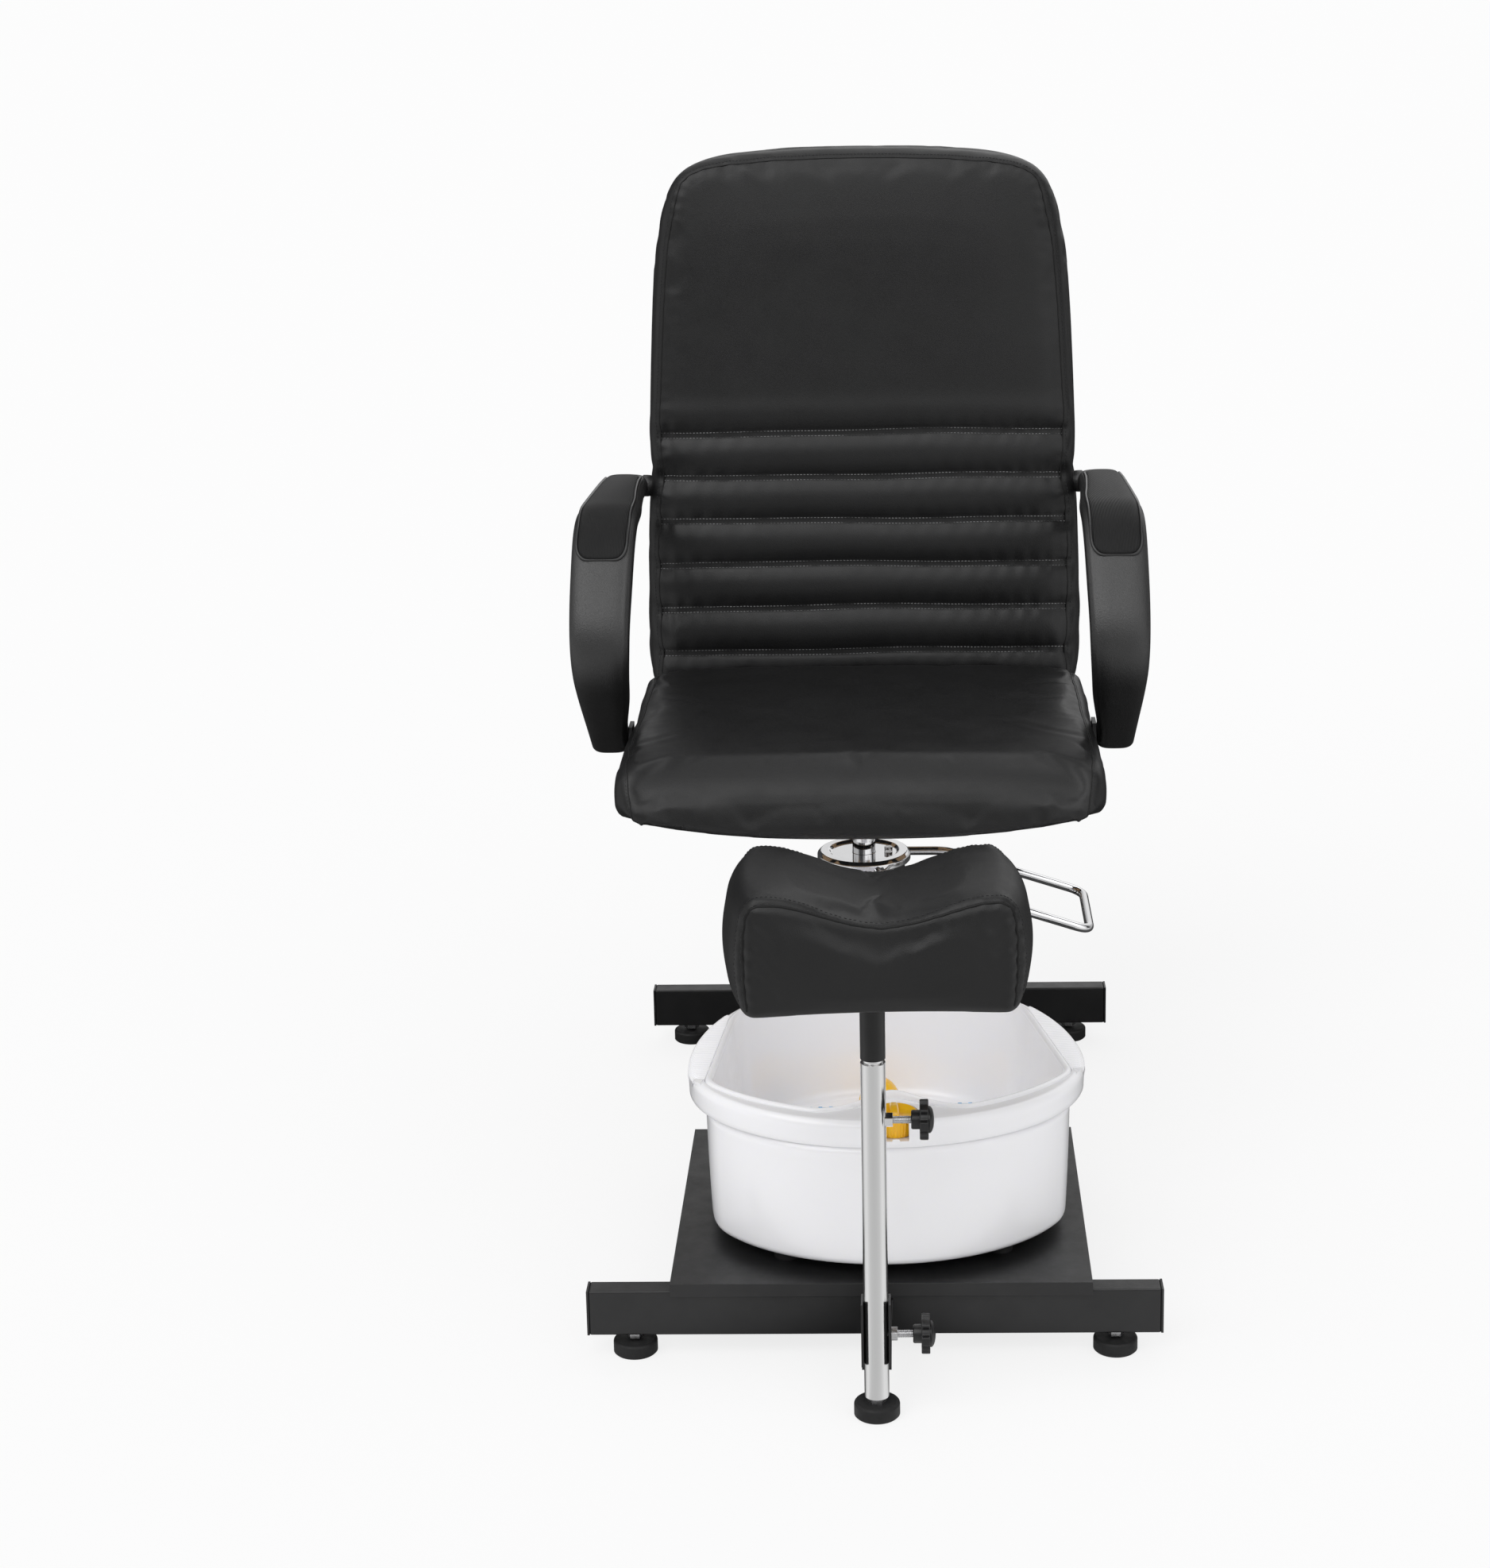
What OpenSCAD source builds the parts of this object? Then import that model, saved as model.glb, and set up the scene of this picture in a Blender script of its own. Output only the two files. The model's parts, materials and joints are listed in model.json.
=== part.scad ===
// Pedicure chair: padded swivel seat on a hydraulic pump, steel floor frame,
// clamped footrest post and a lift-off foot bath on a tray.
// X = 0 is the swivel axis, the front faces -Y, and Z = 0 is the floor.

/* [Floor frame] */
// Length of each cross rail
rail_l = 600; // [560:5:700]
// Depth of a rail, front to back
rail_d = 25; // [20:1:30]
// Height of a rail
rail_h = 50; // [40:1:60]
// Wall of the rectangular tubes
tube_wall = 2; // [1.5:0.5:3]
// Height of the rails above the floor
rail_z = 23.5; // [22:0.5:40]
// Front face to front face distance of the two rails
rail_pitch = 894; // [860:2:940]
// How far the frame's centre lies to the right of the swivel axis
base_x = 14; // [0:1:20]
// Sideways place of each long beam from the frame's centre
beam_x = 100; // [90:1:120]
// Step from a rail's top up to a beam's top
beam_step = 8.5; // [6:0.5:12]
// Thickness of a plastic end cap's plate
cap_t = 2.5; // [1.5:0.5:4]
// Length of an end cap's plug inside the rail
cap_plug_l = 10; // [6:1:20]
// Clearance round an end cap's plug
cap_gap = 0.2; // [0.1:0.1:0.5]

/* [Levelling feet] */
// Distance of a foot's axis from its rail's end
foot_inset = 47; // [25:1:60]
// Radius of a foot's pad
foot_r = 23.3; // [18:0.1:28]
// Height of a foot's pad
foot_h = 15; // [10:0.5:16]
// Rounding of a foot's edges
foot_round = 3; // [1:0.5:5]
// Radius of a foot's threaded stud
foot_stud_r = 5; // [4:0.5:6]
// Length of the stud above the pad
foot_stud_l = 40; // [20:1:50]
// Height of a foot's jam nut
foot_nut_h = 6; // [4:0.5:8]
// Width of a foot's jam nut across its flats
foot_nut_w = 17; // [13:1:19]
// Running clearance between a stud and what it turns in
stud_gap = 0.08; // [0.02:0.01:0.1]

/* [Tray] */
// Width of the tray
tray_w = 442; // [420:2:480]
// Length of the tray, front to back
tray_l = 408; // [380:2:440]
// Distance of the tray's middle from the frame's middle
tray_shift = 7; // [0:1:10]
// Thickness of the tray's sheet
tray_t = 2; // [1:0.5:3]
// Height of the front lip
tray_lip_h = 15; // [12:1:20]
// Height of the side and rear lips
tray_side_h = 10; // [6:0.5:10]
// How far the tray reaches in front of the front rail
tray_ahead = 5; // [3:0.5:10]
// Distance of the front and rear tray screws from the tray's front edge
tray_screw_y = [125, 370];
// Shank radius of a tray screw
tray_screw_r = 2.4; // [1.5:0.1:3]
// Head radius of a tray screw
tray_screw_head_r = 5; // [4:0.5:6]
// Head height of a tray screw
tray_screw_head_h = 2.5; // [2:0.5:4]
// Length of a tray screw under its head
tray_screw_l = 12; // [8:1:20]

/* [Hydraulic pump] */
// Distance of the swivel axis behind the front rail's front face
pump_ahead = 620; // [600:1:660]
// Width of the plate that carries the pump
pump_plate_w = 260; // [240:2:300]
// Length of the plate that carries the pump
pump_plate_l = 200; // [190:2:240]
// Thickness of the plate that carries the pump
pump_plate_t = 6; // [4:0.5:10]
// Radius of the pump's foot flange
flange_r = 90; // [85:1:95]
// Thickness of the pump's foot flange
flange_t = 8; // [6:0.5:12]
// Pitch circle diameter of the pump's bolts
flange_pcd = 150; // [140:1:160]
// Radius of a pump bolt's shank
pump_bolt_r = 5; // [4:0.5:6]
// Radial clearance of a pump bolt in its hole
pump_bolt_gap = 0.4; // [0.2:0.1:1]
// Width of a pump bolt's head across its flats
pump_bolt_w = 17; // [15:1:19]
// Height of a pump bolt's head
pump_bolt_head_h = 6.5; // [5:0.5:8]
// Radius of the pump's cylinder
pump_r = 50; // [48:1:55]
// Height of the pump's cylinder above its flange
pump_h = 249; // [245:1:260]
// Radius of the cylinder's bore
pump_bore_r = 24; // [22:0.5:25]
// Thickness of the cylinder's floor
pump_floor_t = 4; // [3:0.5:8]
// Radius of the chrome cap
pump_cap_r = 57; // [56:0.5:60]
// Height of the chrome cap
pump_cap_h = 13; // [10:0.5:16]
// Depth of the dish in the cap's top
pump_dish_depth = 3; // [1:0.5:4]
// Radius of the dish in the cap's top
pump_dish_r = 40; // [34:1:45]
// Width of the cap's turned-down outer chamfer
pump_cap_chamfer = 4; // [2:0.5:6]
// Radius of the two small cap screws
cap_screw_r = 3; // [2:0.5:4]
// Distance of the cap screws from the swivel axis
cap_screw_x = 30; // [26:1:34]
// Distance between the two cap screws
cap_screw_pitch = 20; // [14:1:30]
// Radius of the piston rod
piston_r = 14; // [12:0.5:16]
// Running clearance of the piston in its cap and cylinder
piston_gap = 0.06; // [0.02:0.01:0.1]
// Height of the piston's head
piston_head_h = 20; // [15:1:30]
// Height of the piston head's underside above the cylinder's floor at rest
piston_low = 98; // [95:1:110]
// Length of piston and hub that show between the cap and the seat plate
seat_lift_gap = 89; // [85:1:95]

/* [Pump pedal] */
// Radius of the pedal's rod
pedal_r = 5.5; // [4:0.5:7]
// Distance between the pedal's two arms
pedal_w = 146; // [138:1:160]
// Reach of the pedal's end bar from the swivel axis
pedal_reach = 278; // [260:1:290]
// Slope of the pedal's arms
pedal_slope = 18; // [12:1:22]
// Length of the sloping part of an arm
pedal_slope_l = 180; // [150:1:190]
// Rounding of the pedal's corners
pedal_round = 16; // [10:1:24]
// Sideways place of the pedal's shaft from the swivel axis
pedal_shaft_x = 35; // [33:0.5:36]
// Distance of the pedal's shaft below the cap
pedal_shaft_drop = 13; // [12:0.5:16]
// Radius of the pedal's shaft
pedal_shaft_r = 8; // [6:0.5:8.5]
// Running clearance of the pedal's shaft
pedal_gap = 0.08; // [0.02:0.01:0.1]

/* [Seat] */
// Width of the seat at its front bulge
seat_w = 558; // [520:2:580]
// Width of the seat between the armrests
seat_rear_w = 552; // [500:2:556]
// Depth of the seat, front to back
seat_l = 510; // [480:2:512]
// Distance of the seat's front edge behind the front rail's front face
seat_ahead = 324; // [320:2:350]
// Height of the seat's cushion at its sides
seat_t = 72; // [60:1:85]
// Crown of the seat's top
seat_crown = 12; // [4:1:20]
// Fall of the seat's top from its front to its rear
seat_fall = 8; // [0:1:14]
// Rounding of the seat's front edge
seat_round = 42; // [30:1:50]
// Rounding of the seat's long edges
seat_edge_r = 16; // [8:1:24]
// Drop of the seat's front lip below its underside
seat_lip = 6; // [0:1:9]
// Width of the board under the seat
board_w = 440; // [420:2:500]
// Length of the board under the seat
board_l = 378; // [370:2:400]
// Distance of the board's front edge behind the seat's front edge
board_inset = 98; // [84:1:104]
// Thickness of the boards
board_t = 15; // [12:1:18]
// Width and length of the steel seat plate
seat_plate_w = 200; // [180:2:240]
// Thickness of the steel seat plate
seat_plate_t = 6; // [4:0.5:8]
// Outer radius of the seat's hub
hub_r = 21; // [19:0.5:26]
// Height of the seat's hub
hub_h = 18; // [14:1:24]
// Inset of the seat bolts from the seat plate's edges
seat_bolt_inset = 20; // [16:1:30]
// Radius of the seat and back bolts
seat_bolt_r = 4; // [3:0.5:5]
// Head height of the seat and back bolts
seat_bolt_head_h = 5; // [4:0.5:7]

/* [Backrest] */
// Greatest width of the backrest
back_w = 550; // [530:2:570]
// Width of the backrest near its top
back_top_w = 500; // [480:2:520]
// Height of the backrest along its own plane
back_h = 708; // [660:2:740]
// Thickness of the backrest's cushion
back_t = 84; // [70:1:100]
// Lean of the backrest
back_lean = 8.8; // [5:0.1:12]
// Height of the backrest's lower edge above the floor
back_low = 490; // [484:1:500]
// Clearance between the seat's rear and the backrest's face
back_gap = 3; // [1:0.5:5]
// Rounding of the backrest's top corners
back_corner = 90; // [60:1:110]
// Crown of the backrest's face
back_crown = 12; // [4:1:20]
// Height of the first sewn channel above the backrest's lower edge
channel_low = 62; // [50:1:70]
// Distance between sewn channels
channel_pitch = 55.7; // [50:0.1:58]
// Number of sewn channels
channel_count = 6; // [4:1:6]
// Depth of a sewn channel
channel_depth = 6; // [2:1:10]
// Half width of a sewn channel at the face
channel_half = 9; // [6:1:12]
// Width of the board behind the backrest
back_board_w = 460; // [420:2:480]
// Height of the board behind the backrest
back_board_h = 620; // [560:2:640]
// Width of each steel bar that carries the backrest
back_bar_w = 40; // [30:1:50]
// Thickness of each steel bar that carries the backrest
back_bar_t = 6; // [4:0.5:8]
// Sideways place of each bar
back_bar_x = 150; // [130:1:170]
// Height of the bars above the floor
back_bar_top = 800; // [740:5:860]

/* [Armrests] */
// Thickness of an armrest's strip
arm_t = 30; // [24:1:32]
// Distance from the swivel axis to an armrest's inner edge at its front bend
arm_in = 264; // [258:1:268]
// Width of an armrest at its front bend
arm_w = 72; // [60:1:80]
// Width of an armrest at the backrest
arm_back_w = 32; // [28:1:40]
// Width of an armrest at the seat
arm_low_w = 46; // [36:1:60]
// Gap between an armrest's lower end and the seat's side
arm_gap = 6; // [5:0.5:9]
// Gap between an armrest and the backrest's side
arm_back_gap = 0.5; // [0.3:0.1:1]
// Height of the rear end of an armrest above the floor
arm_back_z = 756; // [740:1:780]
// Height of the corner over an armrest's front bend
arm_bend_z = 778; // [760:1:800]
// Height of the front corner of an armrest
arm_front_z = 640; // [620:1:660]
// Height of the lower end of an armrest
arm_low_z = 494; // [486:1:505]
// Distance of the rear end behind the front rail's front face
arm_back_y = 930; // [915:1:940]
// Distance of the corner over the front bend behind the front rail's front face
arm_bend_y = 570; // [550:1:590]
// Distance of the front corner behind the front rail's front face
arm_front_y = 465; // [450:1:480]
// Distance of the lower end behind the front rail's front face
arm_low_y = 624; // [610:1:640]
// Bend radius over the top
arm_bend_r = 75; // [60:1:90]
// Bend radius at the front
arm_front_r = 60; // [50:1:70]
// Edge rounding of an armrest
arm_round = 9; // [5:1:12]
// Thickness of an armrest's pad
arm_pad_t = 4; // [3:0.5:6]
// Margin of the armrest's pad from the armrest's edges
arm_pad_inset = 5; // [4:0.5:8]
// Radius of the boss at each armrest end
arm_boss_r = 14; // [10:1:15]
// Depth of an armrest's bolts in the armrest
arm_bolt_depth = 18; // [14:1:22]
// Width of the steel bar under the seat that carries the armrests
arm_bar_w = 30; // [24:1:40]
// Thickness of that bar
arm_bar_t = 5; // [4:0.5:6]
// Radius of an armrest's threaded bolt
arm_bolt_r = 4; // [3:0.5:5]

/* [Footrest post] */
// Distance of the post ahead of the front rail's front face
post_ahead = 127; // [120:1:140]
// Sideways place of the post from the swivel axis
post_x = 17; // [0:1:20]
// Radius of the outer tube
post_r = 12.5; // [12:0.1:14]
// Radius of the inner post
inner_r = 10; // [9:0.1:10.5]
// Running clearance between the inner post and the outer tube
post_gap = 0.07; // [0.03:0.01:0.1]
// Height of the outer tube's lower end above the floor
post_low = 21; // [21:1:26]
// Height of the outer tube's upper end above the floor
post_top = 380; // [360:1:400]
// Height of the inner post's lower end above the floor
inner_low = 60; // [50:1:80]
// Inner post that shows between the outer tube and the socket
inner_show = 4; // [2:0.5:8]
// Height of the socket tube under the footrest
socket_h = 72; // [60:1:80]
// Height of the post bracket's arm
bracket_h = 23; // [18:1:26]
// Height of the post bracket's arm above the floor
bracket_z = 41; // [38:1:44]
// Width of the post bracket's arm
bracket_w = 30; // [24:1:32]
// Height of the cradle
cradle_h = 68; // [60:1:72]
// Height of the cradle above the floor
cradle_z = 57; // [54:1:60]
// Wall of the cradle
cradle_wall = 2.4; // [2:0.1:3]
// Clearance of the outer tube in the cradle
cradle_gap = 0.1; // [0.05:0.05:0.3]
// How far the cradle's walls reach ahead of the tube's axis
cradle_reach = 11; // [8:1:12]

/* [Clamp screws] */
// Radius of a clamp screw
clamp_r = 4; // [3:0.5:5]
// Running clearance of a clamp screw in its nut
clamp_gap = 0.06; // [0.02:0.01:0.1]
// Width of a clamp nut across its flats
clamp_nut_w = 13; // [12:0.5:15]
// Thickness of a clamp nut
clamp_nut_h = 6.5; // [5:0.5:8]
// Height of the upper clamp screw above the floor
clamp_upper_z = 319; // [300:1:340]
// Height of the lower clamp screw above the floor
clamp_lower_z = 88.7; // [80:0.1:100]
// Gap between a clamp screw's tip and the tube it presses
clamp_tip_gap = 0.3; // [0.2:0.1:0.5]
// Distance from the post's axis to a knob's hub
knob_start = 37; // [34:1:44]
// Radius over a knob's lobes
knob_r = 20; // [16:0.5:24]
// Thickness of a knob's lobes
knob_t = 9; // [7:0.5:12]
// Radius of a knob's hub
knob_hub_r = 9.5; // [8:0.5:12]
// Length of a knob's hub
knob_hub_l = 8; // [5:0.5:12]
// Height of the round cap on a knob
knob_cap_h = 4; // [2:0.5:6]
// Number of lobes on a knob
knob_lobes = 6; // [4:1:8]

/* [Footrest] */
// Width of the footrest's pad
pad_w = 296; // [280:2:320]
// Depth of the footrest's pad
pad_d = 176; // [160:2:190]
// Height of the footrest's pad at its two peaks
pad_h = 116; // [90:1:124]
// Dip of the saddle in the pad's top
pad_dip = 22; // [10:1:30]
// Bulge of the pad's ends
pad_bulge = 14; // [10:1:32]
// Distance of the footrest cushion's middle from the post's axis
pad_shift = 7; // [0:1:10]
// Turn of the footrest at rest
pad_turn = 2.5; // [0:0.5:4]
// Width of the board in the pad's underside
pad_board_w = 200; // [180:2:220]
// Depth of the board in the pad's underside
pad_board_d = 120; // [100:2:130]
// Thickness of the board in the pad's underside
pad_board_t = 12; // [9:1:15]
// Width of the footrest's steel plate
pad_plate_w = 120; // [100:2:140]
// Depth of the footrest's steel plate
pad_plate_d = 80; // [60:2:90]
// Thickness of the footrest's steel plate
pad_plate_t = 4; // [3:0.5:6]
// Inset of the footrest's screws from its plate's edges
pad_screw_inset = 12; // [8:1:16]
// Radius of a footrest screw
pad_screw_r = 3; // [2:0.5:4]

/* [Foot bath] */
// Distance of the bath's centre behind the front rail's front face
bath_ahead = 173; // [165:1:180]
// Turn of the bath on its tray
bath_turn = 3.5; // [0:0.5:5]
// Half width of the rim
rim_a = 215; // [205:1:220]
// Reach of the rim ahead of the bath's centre
rim_front = 172; // [160:1:180]
// Reach of the rim behind the bath's centre
rim_rear = 263; // [240:1:270]
// Height of the rim above the floor
rim_z = 262; // [250:1:275]
// Height of the rim's outer band
rim_h = 30; // [24:1:34]
// Width of the rim at its front
rim_front_w = 30; // [24:1:34]
// Width of the rim at its rear
rim_rear_w = 14; // [12:1:20]
// Half width of the opening at its front corners
opening_half = 191; // [186:1:192]
// Distance of the opening's front corners ahead of the bath's centre
opening_corner_y = 46; // [30:1:60]
// Inward slope of the opening's sides, front to rear
opening_taper = 8.5; // [4:0.5:10]
// Wall of the basin and of the outer shell
bath_wall = 2.5; // [2:0.5:3]
// Half width of the outer shell between its flat sides
shell_half = 197; // [196:1:200]
// Inset of the shell under the rim
shell_inset = 7; // [6:0.5:10]
// Draft of the shell from its top to its bottom
shell_draft = 4; // [2:0.5:6]
// Height of the bath's rubber feet
bath_foot_h = 12; // [8:1:16]
// Radius of the bath's rubber feet
bath_foot_r = 14; // [10:1:18]
// Height of the basin's floor above the shell's underside
basin_floor = 29; // [26:1:36]
// Draft of the basin's walls
basin_draft = 12; // [8:1:20]
// Reach of the console that bulges into the opening behind the dial
console_reach = 46; // [40:1:50]
// Half width of the console
console_half = 92; // [80:2:100]
// Radius of the dial
dial_r = 24; // [20:1:25]
// Radius of the dial's foot
dial_foot_r = 22; // [18:1:22]
// Height of the dial
dial_h = 22; // [16:1:24]
// Clearance round the dial in its pocket
dial_gap = 1.5; // [1:0.5:3]
// Distance of the dial's axis behind the rim's front
dial_back = 29; // [28:1:32]
// Width of the notch in front of the dial
notch_w = 27; // [20:1:32]
// Radius of the dial's spindle
spindle_r = 4; // [3:0.5:5]
// Height of the grip bar on the dial
dial_bar_h = 4; // [2:0.5:6]
// Width of the grip bar on the dial
dial_bar_w = 9; // [6:0.5:12]
// Thickness of the massage plate
mat_t = 2; // [1.5:0.5:3]
// Height of a massage stud
stud_h = 4; // [2:0.5:6]
// Radius of a massage stud's foot
stud_r = 4.5; // [3:0.5:6]
// Distance between massage studs
stud_pitch = 20; // [16:1:26]
// Radius of the warming dome
dome_r = 27; // [20:1:32]
// Height of the warming dome
dome_h = 33; // [24:1:40]
// Radius of a massage roller
roller_r = 8.5; // [7:0.5:10]
// Length of a massage roller
roller_l = 60; // [50:2:70]
// Radius of a massage roller's axle
axle_r = 3; // [2:0.5:4]
// Running clearance of a massage roller's axle
axle_gap = 0.08; // [0.02:0.01:0.1]
// Sideways place of each massage roller from the bath's centre
roller_x = 80; // [72:1:90]
// Distance of the massage rollers behind the bath's centre
roller_y = 152; // [130:1:155]

/* [Hidden] */
$fn = 64;
// Overrun of every cut
over = 1;
// Gap between soft or curved faces of one body
seat_clear = 0.3;

// Places worked out from the sizes above
back_rear_reach = (back_h + back_board_h) / 2 * sin(back_lean)
  + (back_t + board_t) * cos(back_lean);
back_face_low = seat_l + seat_ahead + back_gap;
pad_front_reach = pad_d / 2 * cos(pad_turn) + (pad_w / 2 - pad_bulge) * sin(pad_turn);
front_y = (post_ahead + pad_front_reach - back_face_low - back_rear_reach) / 2;
rear_y = front_y + rail_pitch;
pump_y = front_y + pump_ahead;
post_y = front_y - post_ahead;
rail_top = rail_z + rail_h;
foot_x = rail_l / 2 - foot_inset;
beam_top = rail_top + beam_step;
tray_top = beam_top + tray_t;
tray_y = front_y - tray_ahead;
tray_x = base_x + tray_shift;
plate_top = beam_top + pump_plate_t;
pump_top = plate_top + flange_t + pump_h;
cap_top = pump_top + pump_cap_h;
seat_plate_z = cap_top + seat_lift_gap;
board_z = seat_plate_z + seat_plate_t;
seat_z = board_z + board_t;
piston_head_z = plate_top + flange_t + pump_floor_t + piston_low;
pedal_shaft_z = pump_top - pedal_shaft_drop;
clamp_stud_l = knob_start + knob_hub_l;
socket_z = post_top + inner_show;
pad_plate_z = socket_z + socket_h;
pad_z = pad_plate_z + pad_plate_t;
bath_z = tray_top + bath_foot_h;
bath_x = 2 * base_x;
bath_y = front_y + bath_ahead;
floor_z = bath_z + basin_floor;
band_z = rim_z - rim_h;
pocket_z = rim_z - dial_h;
dial_y = -rim_front + dial_back;
dial_z = pocket_z + seat_clear;
mat_z = floor_z + mat_t;
roller_z = mat_z + roller_r + over;
arm_low_in = seat_rear_w / 2 + arm_gap;
arm_back_in = back_w / 2 + arm_back_gap;

// Counts and shares of the soft forms
soft_fn = 8;
seat_steps = 8;
smooth_steps = 4;
pad_steps = 12;
end_draw_share = 0.5;
slim_share = 0.5;
third_share = 1 / 3;
channel_shares = [-1, -0.45, 0, 0.45, 1];
back_narrow_share = 0.45;
crown_start_share = 0.1;
saddle_share = 0.82;
pad_end_drop_share = 0.8;
pad_crown = 4;
pad_edge_r = 14;

// Small sizes of single pieces
knob_lobe_share = 0.28;
heater_r = 60;
heater_t = 6;
motor_r = 9;
motor_l = 36;
motor_y = 90;
gland_r = 7;
gland_z = 22;
gland_l = 7;
gland_collar = 3;
weld_r = 1.5;
foot_stud_depth = 9;
ferrule_wall = 1;
bearing_w = 6;
stud_columns = 1;
stud_rows = 3;
roller_rings = 5;

// Angular steps of the bath's rings
bath_sides = 64;
bath_foot_angles = [38, 142, 222, 318];

// Hollow rectangular tube along X, from its centre
module tube_x(l, d, h) {
  difference() {
    translate([-l / 2, 0, 0]) cube([l, d, h]);
    translate([-l / 2 - over, tube_wall, tube_wall])
      cube([l + 2 * over, d - 2 * tube_wall, h - 2 * tube_wall]);
  }
}

// Hexagon bar along Z with its width across the flats
module hexagon(w, h) {
  cylinder(r = w / 2 / cos(30), h = h, $fn = 6);
}

// Points of the four foot places, front pair first
foot_places = [
  for (y = [front_y + rail_d / 2, rear_y + rail_d / 2]) for (side = [-1, 1])
    [base_x + side * foot_x, y]
];

// A rail with the holes for its two feet
module rail(y) {
  color("#1b1b1c") difference() {
    translate([base_x, y, rail_z]) tube_x(rail_l, rail_d, rail_h);
    for (side = [-1, 1])
      translate([base_x + side * foot_x, y + rail_d / 2, rail_z - over])
        cylinder(r = foot_stud_r + stud_gap, h = tube_wall + 2 * over);
  }
}

module front_rail() {
  rail(front_y);
}

module rear_rail() {
  rail(rear_y);
}

// One plate and plug at each rail end
module rail_end_caps() {
  plug_d = rail_d - 2 * tube_wall - 2 * cap_gap;
  plug_h = rail_h - 2 * tube_wall - 2 * cap_gap;
  color("#101011")
    for (y = [front_y, rear_y]) for (side = [-1, 1])
      translate([base_x + side * rail_l / 2, y, rail_z])
        mirror([side < 0 ? 1 : 0, 0, 0]) {
          cube([cap_t, rail_d, rail_h]);
          translate([-cap_plug_l, tube_wall + cap_gap, tube_wall + cap_gap])
            cube([cap_plug_l + cap_t / 2, plug_d, plug_h]);
        }
}

// Two long beams between the rails, with their tray screw holes
module beams() {
  l = rail_pitch - rail_d;
  color("#1b1b1c") for (side = [-1, 1]) difference() {
    translate([base_x + side * beam_x + rail_d / 2, front_y + rail_d + l / 2, beam_top - rail_h])
      rotate([0, 0, 90]) tube_x(l, rail_d, rail_h);
    for (d = tray_screw_y)
      translate([base_x + side * beam_x, tray_y + d, beam_top - tube_wall - over])
        cylinder(r = tray_screw_r, h = tube_wall + 2 * over);
  }
}

// Folded sheet with a deep front lip and shallower side lips, open to the rear
module tray() {
  color("#1d1d1e") difference() {
    translate([tray_x - tray_w / 2, tray_y, tray_top - tray_lip_h])
      cube([tray_w, tray_l, tray_lip_h]);
    translate([tray_x - tray_w / 2 + tray_t, tray_y + tray_t, tray_top - tray_lip_h - over])
      cube([tray_w - 2 * tray_t, tray_l - tray_t + over, tray_lip_h - tray_t + over]);
    translate([tray_x - tray_w / 2 - over, tray_y + tray_t, tray_top - tray_lip_h - over])
      cube([tray_w + 2 * over, tray_l, tray_lip_h - tray_side_h + over]);
    for (side = [-1, 1]) for (d = tray_screw_y)
      translate([base_x + side * beam_x, tray_y + d, tray_top - tray_t - over])
        cylinder(r = tray_screw_r, h = tray_t + 2 * over);
  }
}

module tray_screws() {
  color("#2a2a2b")
    for (side = [-1, 1]) for (d = tray_screw_y)
      translate([base_x + side * beam_x, tray_y + d, tray_top]) {
        cylinder(r = tray_screw_head_r, h = tray_screw_head_h);
        translate([0, 0, -tray_screw_l])
          cylinder(r = tray_screw_r, h = tray_screw_l + tray_screw_head_h / 2);
      }
}

// Places of the four pump bolts round the swivel axis
module at_pump_bolts() {
  for (a = [45, 135, 225, 315])
    translate([0, pump_y, 0]) rotate([0, 0, a]) translate([flange_pcd / 2, 0, 0]) children();
}

module pump_plate() {
  color("#1d1d1e") difference() {
    translate([base_x - pump_plate_w / 2, pump_y - pump_plate_l / 2, beam_top])
      cube([pump_plate_w, pump_plate_l, pump_plate_t]);
    at_pump_bolts() translate([0, 0, beam_top - over])
      cylinder(r = pump_bolt_r + pump_bolt_gap, h = pump_plate_t + 2 * over);
  }
}

module pump_flange() {
  color("#202021") difference() {
    translate([0, pump_y, plate_top]) cylinder(r = flange_r, h = flange_t);
    at_pump_bolts() translate([0, 0, plate_top - over])
      cylinder(r = pump_bolt_r + pump_bolt_gap, h = flange_t + 2 * over);
  }
}

// Hexagon bolts with nuts under the plate
module pump_bolts() {
  shank = flange_t + pump_plate_t + pump_bolt_head_h + over;
  color("#b9b9bc") at_pump_bolts() {
    translate([0, 0, plate_top + flange_t]) hexagon(pump_bolt_w, pump_bolt_head_h);
    translate([0, 0, beam_top - pump_bolt_head_h]) hexagon(pump_bolt_w, pump_bolt_head_h);
    translate([0, 0, plate_top + flange_t - shank]) cylinder(r = pump_bolt_r, h = shank + over);
  }
}

// Thick cylinder with the piston's bore and the pedal shaft's cross bore
module pump_cylinder() {
  color("#202021") difference() {
    translate([0, pump_y, plate_top + flange_t]) cylinder(r = pump_r, h = pump_h);
    translate([0, pump_y, plate_top + flange_t + pump_floor_t])
      cylinder(r = pump_bore_r, h = pump_h);
    translate([pedal_shaft_x, pump_y - pump_r - over, pedal_shaft_z])
      rotate([-90, 0, 0])
        cylinder(r = pedal_shaft_r + pedal_gap, h = 2 * pump_r + 2 * over);
  }
}

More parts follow.
